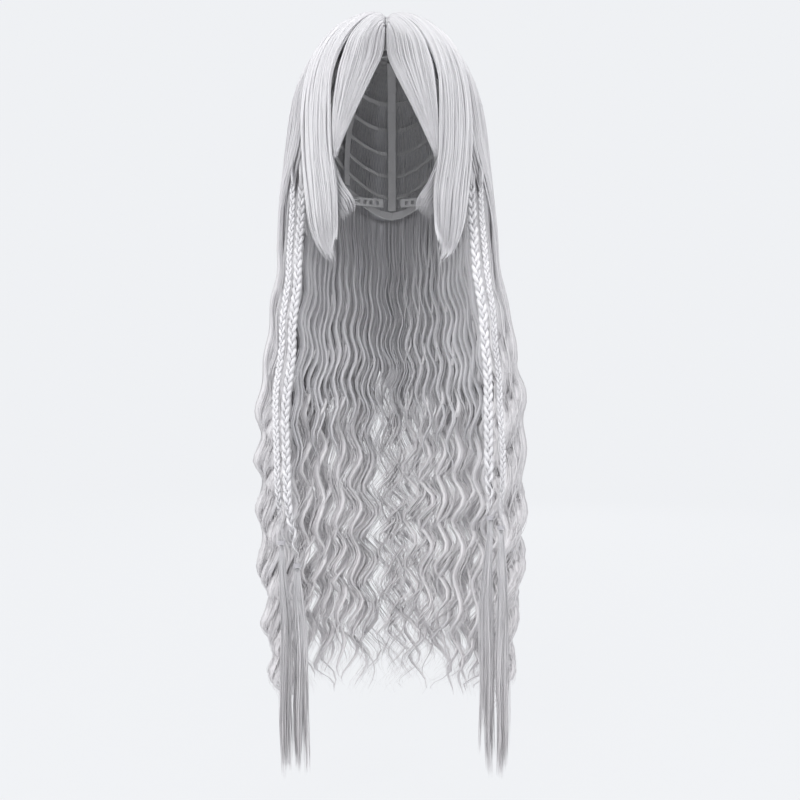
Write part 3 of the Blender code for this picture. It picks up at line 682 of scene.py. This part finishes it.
def stands_for(piece, slot, bodies, nodes=(), start=None, end=None):
    """Ties a piece to its first body, or, when it is given bend points, only bakes it in place; and hides
    the parts that it replaces.
    """
    if start is None:
        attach(piece, bodies[0])
    else:
        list(bodies)
        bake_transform(piece)
        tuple(start)
        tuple(end)
    if nodes:
        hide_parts(*nodes)


def plant(name, guides, slot, bodies, nodes=(), bend=(None, None), material="hair", **changes):
    """Grows locks of hair on guides; without bend points it ties them to their first body, and it hides the
    parts that they replace.
    """
    hair = bpy.context.scene.wig_hair
    settings = {"Strands": 20, "Width": hair.strand_width, "Wave Length": hair.wave_length,
                "Frizz": hair.frizz, "Gather": 0.3, "Trim": 0.10, "Stray Phase": 0.8,
                "Body Share": 0.6, "Body Flat": 0.35, "Seed": 5, "Material": finish(material)}
    settings |= {key.replace("_", " "): value for key, value in changes.items()}
    stands_for(grow(name, guides, tree("hair_lock"), settings), slot, bodies, nodes, *bend)


# ---------------------------------------------------------------- hair
class WIG_OT_crown(bpy.types.Operator):
    """The mass of hair on the cap, under the strands"""
    bl_idname = "wig.crown"
    bl_label = "Crown"

    def execute(self, context):
        nodes = [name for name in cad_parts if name.startswith("crown_")]
        paths = []
        for angle in np.arange(62, 299, 3):
            turn, _ = back_turn(angle)
            lowest = eased([(62, -0.004), (80, -0.020), (110, -0.060), (150, -0.095)],
                           math.degrees(abs(turn)))
            paths.append(back_path(turn, turn, lowest))
        # The crown mass is the hair under the strands, coloured darker than the fibre as painted shade for
        # the gaps.
        piece = skin("crown_mass", paths, 40, 0.012, 60, "hair_mass")
        stands_for(piece, "hair", ["cap"], nodes)
        return {"FINISHED"}


def between(rows, u, side, heights, forward=0.0):
    """A path down a section, at a share of the way from its inner edge to its outer one."""
    keys = np.array(rows)[::-1]
    path = []
    for z in heights:
        inner, outer = (float(np.interp(z, keys[:, 0], keys[:, k])) for k in (1, 2))
        x = side * (inner + (outer - inner) * u)
        path.append((x, front_y(x, z) + forward, z))
    return path


def face_section(name, rng, path, recess, count, insets, loose, rises, width, depth, wave, streaks, bend,
                 **changes):
    """Two layers of locks beside the face, over a skin, on paths from its inner edge to its outer one."""
    guides = Guides()
    for inset, locks in zip(insets, (12, 9)):
        for n in range(locks):
            u = (n + 0.5 + rng.uniform(-0.3, 0.3)) / locks
            points = smoothed(respaced(path(u, rng.uniform(*rises[0])), count), 5)
            guides.add(set_in(points, inset + recess(u) + rng.uniform(0, loose)), width, depth, wave=wave,
                       phase=rng.uniform(0, TURN), pitch=0.4)
    plant(name + "_hair", guides, "hair", ("cap", name), [name], bend,
          Width=bpy.context.scene.wig_hair.strand_width * 0.80, Body_Share=0.8, **changes)
    shares = np.linspace(0.02, 0.98, 30)
    paths = [path(u, rng.uniform(*rises[1])) for u in shares]
    piece = skin(name + "_skin", paths, count, [insets[2] + recess(u) for u in shares], streaks, "hair")
    stands_for(piece, "hair", ("cap", name), [name], *bend)


class WIG_OT_fringe(bpy.types.Operator):
    """Curtain fringe that parts in the middle and sweeps past the eyes"""
    bl_idname = "wig.fringe"
    bl_label = "Fringe"

    def execute(self, context):
        top, count = FRINGE_EDGES[0][0], 40
        for word, side in SIDES:
            def path(u, low):
                rows = between(FRINGE_EDGES, u, side, np.linspace(top, low, 40))
                return over_the_head(-0.088 + 0.036 * u, rows[0], side)[:-1] + rows

            def recess(u):
                return taper(count, ((0, 0), (0.45, 0.0010 + 0.0045 * u), (1, 0.0025)))

            face_section(f"fringe_{word}", np.random.default_rng(21 + side), path, recess, count,
                         insets=(0.0008, 0.0030, 0.0026), loose=0.0008,
                         rises=((-0.043, -0.036), (-0.037, -0.031)),
                         width=((0, 0.0012), (0.3, 0.0026), (0.7, 0.0026), (1, 0.0011)),
                         depth=((0, 0.0005), (0.3, 0.0008), (1, 0.0006)), wave=0.0006, streaks=9,
                         bend=FRINGE_BEND, Strands=22, Frizz=0.0015, Gather=0.2, Body_Flat=0.12,
                         Seed=3 + side)
        return {"FINISHED"}


class WIG_OT_front_locks(bpy.types.Operator):
    """Long locks before the ears that curve in under the chin, over a second layer"""
    bl_idname = "wig.front_locks"
    bl_label = "Front Locks"

    def execute(self, context):
        top = LOCK_EDGES[0][0]
        tip = [(0.0, -0.130), (0.5, -0.150), (1.0, -0.143)]
        for word, side in SIDES:
            rng = np.random.default_rng(31 + side)

            def path(u, rise):
                rows = between(LOCK_EDGES, u, side, np.linspace(top, eased(tip, u) + rise, 50))
                return over_the_head(-0.050 + 0.050 * u, rows[0], side)[:-1] + rows

            face_section(f"front_lock_{word}", rng, path, lambda u: 0.0, count=46,
                         insets=(0.0008, 0.0036, 0.0028), loose=0.001,
                         rises=((-0.003, 0.012), (0.004, 0.014)),
                         width=((0, 0.0012), (0.3, 0.0026), (0.8, 0.0028), (1, 0.0010)),
                         depth=((0, 0.0005), (0.3, 0.0009), (1, 0.0006)), wave=0.0008, streaks=10,
                         bend=LOCK_BEND, Frizz=0.002, Body_Flat=0.14, Trim=0.12, Seed=7 + side)
            under, locks = Guides(), 12
            for n in range(locks):
                u = (n + 0.5 + rng.uniform(-0.3, 0.3)) / locks
                rows = between(UNDER_LOCK_EDGES, u, side,
                               np.linspace(0.0, -0.105 + 0.010 * (1 - u), 30), 0.011)
                points = smoothed(respaced([(rows[0][0], rows[0][1] + 0.004, 0.030)] + rows, 34), 3)
                under.add(points, ((0, 0.0024), (0.8, 0.0024), (1, 0.0010)), ((0, 0.0010), (1, 0.0006)))
            # The under lock is darkened as painted shade, since it lies beneath the front lock.
            plant(f"under_lock_{word}_hair", under, "hair_shade", [f"front_lock_{word}"],
                  [f"under_lock_{word}"], material="hair_shade", Strands=12, Frizz=0.002, Body_Share=1.0,
                  Body_Flat=0.2, Seed=9 + side)
        return {"FINISHED"}


def back_path(turn, settled, end_z):
    """From the parting or the whorl over the dome, then down the back to an end."""
    side = 1 if turn > 0 else -1
    start_y = float(np.interp(abs(turn), [1.0, 2.0, 2.7, math.pi], [-0.005, 0.025, 0.040, 0.045]))
    path = over_the_head(start_y, fall_point(turn, 0.0), side)
    for height in np.linspace(0, end_z, 90)[1:]:
        share = min(1.0, -height / 0.12)
        path.append(fall_point(turn + (settled - turn) * soft(share), height))
    return path


def back_turn(degrees):
    """A turn from the face on either side, and where its hair settles on the back."""
    angle = degrees if degrees <= 180 else degrees - 360
    settled = np.interp(abs(angle), [55, 110, 180], [90, 120, 180])
    return math.radians(angle), math.copysign(math.radians(settled), angle)


def back_section(settled, edge_x):
    """The section of the back hair that a settled turn falls in."""
    x = fall_point(settled, -0.2)[0]
    return "left" if x > edge_x else "right" if x < -edge_x else "centre"


class WIG_OT_back_hair(bpy.types.Operator):
    """Wavy hair that falls behind the shoulders, in three sections"""
    bl_idname = "wig.back_hair"
    bl_label = "Back Hair"

    def execute(self, context):
        hair = context.scene.wig_hair
        rng = np.random.default_rng(11)
        count = 84
        sections = {}
        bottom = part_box("back_hair_centre")[0].z
        edge_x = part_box("back_hair_centre")[1].x
        for layer, (share_in, locks) in enumerate(((0.04, 30), (0.42, 26), (0.84, 21))):
            for n in range(locks):
                place = float(np.interp(n + rng.uniform(-0.3, 0.3), [0, locks - 1], [56, 304]))
                turn, settled = back_turn(place)
                end_z = bottom - 0.012 + abs(rng.normal(0, 0.016)) + 0.006 * layer
                path = back_path(turn, settled, end_z)
                points = smoothed(respaced(path, count - 8 * layer, wavy=2.4), 3)
                z = points[:, 2]
                deep = np.interp(-z, [-0.12, 0.0, 0.10, 0.66], [0.013, 0.018, 0.022, 0.012])
                swell = 1 + 0.30 * np.sin(z * (TURN / 0.19) + rng.uniform(0, TURN))
                wave = hair.wave_height * rng.uniform(0.8, 1.2) * swell * np.interp(
                    -z, [0.02, 0.10, 0.20, 0.30, 0.42, 0.66], [0, 0.08, 0.3, 0.7, 1.0, 1.15])
                drift = 0.5 * np.sin(z * (TURN / 0.31) + 2.0 * turn + rng.uniform(-0.8, 0.8))
                depth = "outer" if layer == 0 else "inner"
                sections.setdefault((back_section(settled, edge_x), depth), Guides()).add(
                    set_in(points, 0.0012 + deep * share_in),
                    np.interp(-z, [-0.147, -0.08, 0.1, 0.3, 0.68], [0.002, 0.0080, 0.0115, 0.0155, 0.0125]),
                    np.interp(-z, [-0.147, -0.08, 0.1, 0.6], [0.0005, 0.0010, 0.0030, 0.0040]), wave,
                    phase=drift + rng.uniform(-0.45, 0.45) + 1.8 * math.sin(2.3 * turn + 0.6 * layer),
                    pitch=rng.uniform(0.975, 1.025),
                    bulk=np.interp(-z, [-0.147, 0.0, 0.12, 0.3, 0.68],
                                   [0.0005, 0.0012, 0.0045, 0.0104, 0.0082]))
        for (word, depth), guides in sections.items():
            body = f"back_hair_{word}"
            plant(f"{body}_{depth}", guides, "hair", ("cap", body), [body], BACK_BEND,
                  material="hair_long", Strands=17, Frizz=hair.frizz * 3.0, Gather=0.25, Stray_Phase=0.9,
                  Body_Share=1.0, Body_Flat=0.14)
        columns = {"left": [], "centre": [], "right": []}
        for degrees in np.arange(56, 305, 2.0):
            turn, settled = back_turn(degrees)
            columns[back_section(settled, edge_x)].append(
                back_path(turn, settled, -0.24 - rng.uniform(0, 0.12)))
        for word, paths in columns.items():
            body, rows = f"back_hair_{word}", 70
            inset = np.interp(range(rows), [0, 10, rows - 1], [0.0100, 0.0046, 0.0090])
            # The skins under the strands are darkened as painted shade, to match the shadowed strands over
            # them.
            piece = skin(f"{body}_skin", paths, rows, inset, 20, "hair_under")
            stands_for(piece, "hair", ("cap", body), [body], *BACK_BEND)
        nape, count, locks = Guides(), 30, 30
        for n in range(locks):
            degrees = np.interp(n + rng.uniform(-0.3, 0.3), [0, locks - 1], [108, 252])
            turn, top = math.radians(degrees), rim_height(degrees) + 0.004
            path = [fall_point(turn, z) for z in np.linspace(top, -0.385 + rng.uniform(-0.01, 0.10), 60)]
            nape.add(set_in(respaced(path, count), np.linspace(0.016, 0.030, count)),
                     ((0, 0.004), (0.2, 0.008), (0.7, 0.008), (1, 0.003)), 0.0022,
                     wave=np.linspace(0, 0.007, count),
                     phase=1.8 * math.sin(2.3 * turn) + rng.uniform(-0.5, 0.5))
        bodies, nodes = ("cap", "back_hair_centre"), ["nape_hair"]
        # The nape locks and nape skin are the inner layer, darkened as painted shade.
        plant("nape_hair_locks", nape, "hair_shade", bodies, nodes, NAPE_BEND, material="hair_shade",
              Strands=10, Trim=0.2, Body_Share=0.9, Body_Flat=0.15)
        paths = []
        for degrees in np.arange(100, 261, 3.0):
            heights = np.linspace(rim_height(degrees) + 0.005, -0.20 - rng.uniform(0, 0.12), 40)
            paths.append([fall_point(math.radians(degrees), z) for z in heights])
        piece = skin("nape_hair_skin", paths, 30, np.linspace(0.015, 0.013, 30), 24, "hair_shade")
        stands_for(piece, "hair_shade", bodies, nodes, *NAPE_BEND)
        return {"FINISHED"}


def tie_height(name):
    """The height of the middle of a braid's tie."""
    low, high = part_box("tie" + name[5:])
    return (low.z + high.z) / 2


def braid_path(name, top, bottom, count):
    """The middle line of a braid, from its root to its tie or its tail's end."""
    side, _, across, _ = BRAIDS[name]
    tie_z = tie_height(name)
    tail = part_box("tail" + name[5:])
    tail_x = (tail[0].x + tail[1].x) / 2
    keys = [(BRAID_TOP_Z + (tie_z - BRAID_TOP_Z) * n / 5, side * x) for n, x in enumerate(across)]
    keys += [(tie_z - 0.10, tail_x)]
    places = []
    for z in np.linspace(top, bottom, count):
        y = eased([(BRAID_TOP_Z, BRAID_PIVOT_Y), (-0.20, BRAID_FRONT_Y), (-0.60, BRAID_FRONT_Y)], z)
        places.append((eased(keys, z), y, z))
    return np.array(places)


class WIG_OT_braids(bpy.types.Operator):
    """Thin three-strand braids on each side, with their ties and loose tails"""
    bl_idname = "wig.braids"
    bl_label = "Braids"

    def execute(self, context):
        hair = context.scene.wig_hair
        for number, (name, (side, radius, _, pitch)) in enumerate(BRAIDS.items()):
            rng = np.random.default_rng(51 + number)
            tie_z = tie_height(name)
            points_per_turn = 11
            count = int((tie_z - BRAID_START_Z) / -pitch * points_per_turn)
            middle = braid_path(name, BRAID_START_Z, tie_z - 0.001, count)
            plaits = Guides()
            thin = taper(count, ((0, 0.8), (0.08, 1), (0.92, 1), (1, 0.55))) * radius
            for n in range(3):
                turn = TURN * ((middle[:, 2] / pitch) + n / 3)
                points = middle.copy()
                points[:, 0] += np.sin(turn) * thin * PLAIT_SWING
                points[:, 1] -= np.sin(2 * turn) * thin * PLAIT_DEPTH
                normals = np.stack([np.cos(turn) * 0.25, np.full(count, -1.0), np.zeros(count)], axis=1)
                plaits.add(points, thin * 0.56, thin * 0.44, normals=unit(normals))
            plant(name + "_plait", plaits, "braid", ("cap", name), [name], BRAID_BEND, material="braid",
                  Strands=6, Width=hair.strand_width * 0.5, Frizz=0.0004, Gather=0.0, Trim=0.0,
                  Stray_Phase=0.0, Body_Share=1.0, Body_Flat=0.75, Seed=number)
            root, steps = Guides(), 24
            for n in range(6):
                spread = rng.uniform(-1, 1), rng.uniform(-1, 1)
                begin = np.array((middle[0, 0] - side * (0.012 - 0.004 * spread[0]),
                                  BRAID_PIVOT_Y + 0.020 + 0.006 * spread[1], 0.034))
                end = middle[3] + np.array((spread[0], spread[1], 0)) * radius * 0.4
                way = np.linspace(0, 1, steps)[:, None]
                points = begin + (end - begin) * way
                points[:, 0] += side * 0.006 * np.sin(way[:, 0] * math.pi)
                root.add(points, ((0, 0.0034), (0.6, 0.0026), (1, 0.0012)), ((0, 0.0018), (1, 0.0010)),
                         normals=outward(points))
            plant(name + "_root", root, "hair", ["cap"], Strands=14, Frizz=0.001, Trim=0.04,
                  Body_Share=0.8, Body_Flat=0.5, Seed=40 + number)
            suffix = name[5:]
            tail_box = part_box("tail" + suffix)
            tail, steps = Guides(), 40
            reach = (tail_box[1].x - tail_box[0].x) / 2 * TAIL_REACH
            for n in range(9):
                end_z = tail_box[0].z + abs(rng.normal(0, 0.016))
                path = braid_path(name, tie_z - 0.003, end_z, steps)
                spread = rng.uniform(-0.7, 0.7), rng.uniform(-0.6, 0.6)
                grown = np.sin(np.linspace(0.12, 1.0, steps) * math.pi / 2)
                path[:, 0] += spread[0] * reach * grown
                path[:, 1] += spread[1] * reach * grown
                tail.add(path, ((0, 0.0012), (0.3, 0.0042), (1, 0.0032)),
                         ((0, 0.0010), (0.3, 0.0022), (1, 0.0016)), wave=0.0008,
                         phase=rng.uniform(0, TURN), pitch=0.4,
                         normals=np.tile((0.0, -1.0, 0.0), (steps, 1)))
            plant("tail" + suffix + "_hair", tail, "hair", ["tail" + suffix], ["tail" + suffix],
                  material="hair_long", Strands=22, Frizz=0.003, Gather=0.1, Trim=0.28, Body_Share=0.5,
                  Seed=number)
            stands_for(tie_winding(suffix), "rubber", [name], ["tie" + suffix])
        return {"FINISHED"}


def tie_winding(suffix):
    """An elastic band wound four times round a braid's end."""
    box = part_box("tie" + suffix)
    middle = (Vector(box[0]) + Vector(box[1])) / 2
    half = (box[1].z - box[0].z) / 2
    across = (box[1].x - box[0].x) / 2
    thread = half / 4.6
    guides = Guides()
    turns, steps = 4, 18
    at = np.linspace(0, turns * TURN, turns * steps + 1)
    points = np.stack([middle.x + np.cos(at) * (across - thread), middle.y + np.sin(at) * (across - thread),
                       middle.z + (at / at[-1] - 0.5) * 2 * (half - thread)], axis=1)
    normals = np.stack([np.cos(at), np.sin(at), np.zeros(len(at))], axis=1)
    guides.add(points, 1.0, 1.0, normals=normals)
    return grow("tie" + suffix + "_band", guides, tree("threads"),
                {"Radius": thread, "Sides": 8, "Material": finish("rubber")})


# ---------------------------------------------------------------- cap and ties
def thread_tree():
    """Round threads along the guides."""
    graph, given, leave = new_group("threads", [("Radius", "Float", 0.0003), ("Sides", "Int", 6),
                                                ("Material", "Material", None)])
    curves = graph.node("GeometryNodeMeshToCurve", sockets={"Mesh": given["Guides"]})
    ring = graph.ring(given["Sides"], given["Radius"])
    mesh = graph.node("GeometryNodeCurveToMesh", {}, {"Curve": curves, "Profile Curve": ring,
                                                      "Fill Caps": True})
    graph.feed(leave.inputs[0], graph.coated(graph.smooth(mesh), given["Material"]))
    return graph.tree


def cap_point(turn, polar):
    """A point on the net: a turn from the face, and an angle from the top."""
    flat = abs(math.sin(polar)) ** (2 / ROUNDNESS)
    high = math.copysign(abs(math.cos(polar)) ** (2 / ROUNDNESS), math.cos(polar))
    return math.sin(turn) * flat * CAP[0], MIDDLE_Y - math.cos(turn) * flat * CAP[1], high * CAP[2]


def rim_polar(turn):
    """The angle from the top at which the net ends."""
    height = rim_height(math.degrees(turn)) + 0.006
    low, high = 0.1, 2.6
    for _ in range(24):
        middle = (low + high) / 2
        low, high = (middle, high) if cap_point(turn, middle)[2] > height else (low, middle)
    return low


class WIG_OT_cap_net(bpy.types.Operator):
    """Net of crossing threads between the bands of the cap"""
    bl_idname = "wig.cap_net"
    bl_label = "Cap Net"

    def execute(self, context):
        cap = context.scene.wig_cap
        guides = Guides()
        around, down, twist = 140, 48, 14
        for lean in (-1, 1):
            for n in range(around):
                path = []
                for share in np.linspace(0.10, 1.0, down):
                    turn = TURN * (n + lean * share * twist) / around
                    path.append(cap_point(turn, rim_polar(turn) * share))
                guides.add(np.array(path), 1.0, 1.0)
        piece = grow("cap_net_threads", guides, tree("threads"),
                     {"Radius": cap.thread, "Sides": 3, "Material": finish("net")})
        stands_for(piece, "net", ["cap"], ["cap_net"])
        return {"FINISHED"}


class WIG_OT_cap_tapes(bpy.types.Operator):
    """Bands, ribbons, tabs, ribs, wefts and eyelet tapes, in their cloths"""
    bl_idname = "wig.cap_tapes"
    bl_label = "Cap Tapes"

    def execute(self, context):
        slots = {"front_band": "tape", "nape_band": "tape", "ear_": "tape", "rib_": "tape",
                 "eyelet_": "tape", "parting_strip": "net", "weft_": "weft", "strap_hook_": "steel"}
        dressed = 0
        for name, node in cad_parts.items():
            for start, slot in slots.items():
                if name.startswith(start):
                    node.data.materials.clear()
                    node.data.materials.append(finish(slot))
                    dressed += 1
        if not dressed:
            raise RuntimeError("the frame holds no tapes, ribs, wefts or hooks")
        return {"FINISHED"}


class WIG_OT_straps(bpy.types.Operator):
    """Elastic straps at the nape that lead to their hooks, copied from the frame's straps in elastic cloth;
    they are not stretched
    """
    bl_idname = "wig.straps"
    bl_label = "Straps"

    def execute(self, context):
        for word, _ in SIDES:
            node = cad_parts[f"strap_{word}"]
            mesh = node.data.copy()
            work = bmesh.new()
            work.from_mesh(mesh)
            bmesh.ops.remove_doubles(work, verts=work.verts, dist=1e-6)
            bmesh.ops.dissolve_limit(work, angle_limit=0.01, verts=work.verts, edges=work.edges)
            bmesh.ops.subdivide_edges(work, edges=work.edges, cuts=2, use_grid_fill=True)
            bmesh.ops.recalc_face_normals(work, faces=work.faces)
            work.to_mesh(mesh)
            work.free()
            mesh.materials.clear()
            mesh.materials.append(finish("elastic"))
            piece = placed(f"strap_{word}_elastic", mesh)
            low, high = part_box(f"strap_{word}")
            hook_low, hook_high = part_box(f"strap_hook_{word}")
            hook = (Vector(hook_low) + Vector(hook_high)) / 2
            middle = (Vector(low) + Vector(high)) / 2
            start = middle + (middle - hook) * 0.9
            stands_for(piece, "elastic", ("cap", f"strap_hook_{word}"), [f"strap_{word}"],
                       tuple(start), tuple(hook))
        return {"FINISHED"}


# ---------------------------------------------------------------- stage
class WIG_OT_stage(bpy.types.Operator):
    """Pale floor and backdrop, soft lights and the camera"""
    bl_idname = "wig.stage"
    bl_label = "Stage"

    def execute(self, context):
        stage = context.scene.wig_stage
        scene = context.scene
        low = CAD_BOX[0][2] - stage.floor_drop
        flat, bend, height = 3.0, 2.0, 12
        profile = [(0.0, low), (flat / 2, low), (flat, low)]
        profile += [(flat + bend * math.sin(a), low + bend - bend * math.cos(a))
                    for a in np.linspace(0, math.pi / 2, 24)[1:]]
        profile += [(flat + bend, low + height)]
        around = 96
        points = [(r * math.cos(TURN * n / around), r * math.sin(TURN * n / around), z)
                  for r, z in profile[1:] for n in range(around)] + [(0, 0, low)]
        faces = [(len(points) - 1, n, (n + 1) % around) for n in range(around)]
        for row in range(len(profile) - 2):
            for n in range(around):
                a, b = row * around + n, row * around + (n + 1) % around
                faces.append((a, a + around, b + around, b))
        mesh = bpy.data.meshes.new("backdrop")
        mesh.from_pydata(points, [], faces)
        mesh.shade_smooth()
        made, graph, shader = principled("backdrop", {
            "Roughness": 0.9, "Specular IOR Level": 0.0, "Emission Color": (0.93, 0.945, 0.97, 1),
            "Emission Strength": 0.89})
        place = graph.node("ShaderNodeTexCoord", output="Object")
        graph.feed(shader.inputs["Base Color"], mixed(
            graph, graph.noise(place, 40.0), (0.038, 0.038, 0.039), (0.042, 0.042, 0.043)))
        mesh.materials.append(made)
        backdrop = placed("backdrop", mesh)
        backdrop.visible_shadow = False
        world = bpy.data.worlds.new("studio")
        world.use_nodes = True
        sky = world.node_tree.nodes["Background"].inputs
        sky["Color"].default_value = (0.96, 0.965, 0.98, 1)
        sky["Strength"].default_value = 0.80
        scene.world = world
        scene.view_settings.view_transform = "Standard"
        lights = (("key", (-1.3, -1.9, 0.9), 1.4, 32), ("fill", (1.6, -1.6, 0.3), 1.4, 15),
                  ("top", (0.1, -0.7, 1.9), 1.4, 8), ("back", (0.4, 2.0, 0.5), 1.6, 13))
        for name, place, size, power in lights:
            light = bpy.data.lights.new(name, "AREA")
            light.size, light.energy = size, power
            lamp = placed(name, light)
            lamp.location = place
            lamp.rotation_euler = (Vector((0, 0, -0.2)) - Vector(place)).to_track_quat("-Z", "Y").to_euler()
        camera = bpy.data.cameras.new("camera")
        camera.lens, camera.sensor_width = 33.3, 36.0
        seen = placed("camera", camera)
        seen.location = (0.0103, -stage.distance, -0.288)
        seen.rotation_euler = (math.pi / 2, 0, 0)
        scene.camera = seen
        return {"FINISHED"}


class WIG_PT_panel(bpy.types.Panel):
    """Builds the wig's pieces"""
    bl_idname = "WIG_PT_panel"
    bl_label = "Costume Wig"
    bl_space_type = "VIEW_3D"
    bl_region_type = "UI"
    bl_category = "Wig"

    def draw(self, context):
        for settings in (context.scene.wig_hair, context.scene.wig_cap, context.scene.wig_stage):
            for name in settings.bl_rna.properties.keys()[2:]:
                self.layout.prop(settings, name)
        for step in STEPS:
            self.layout.operator(step.bl_idname)


STEPS = (WIG_OT_stage, WIG_OT_crown, WIG_OT_fringe, WIG_OT_front_locks, WIG_OT_back_hair, WIG_OT_braids,
         WIG_OT_cap_net, WIG_OT_cap_tapes, WIG_OT_straps)
SETTINGS = {"wig_hair": WigHair, "wig_cap": WigCap, "wig_stage": WigStage}


def register():
    for kind in (*SETTINGS.values(), *STEPS, WIG_PT_panel):
        bpy.utils.register_class(kind)
    for name, kind in SETTINGS.items():
        setattr(bpy.types.Scene, name, PointerProperty(type=kind))


def unregister():
    for name in SETTINGS:
        delattr(bpy.types.Scene, name)
    for kind in reversed((*SETTINGS.values(), *STEPS, WIG_PT_panel)):
        bpy.utils.unregister_class(kind)


def main():
    register()
    for step in STEPS:
        group, name = step.bl_idname.split(".")
        getattr(getattr(bpy.ops, group), name)()


if __name__ == "__main__":
    main()
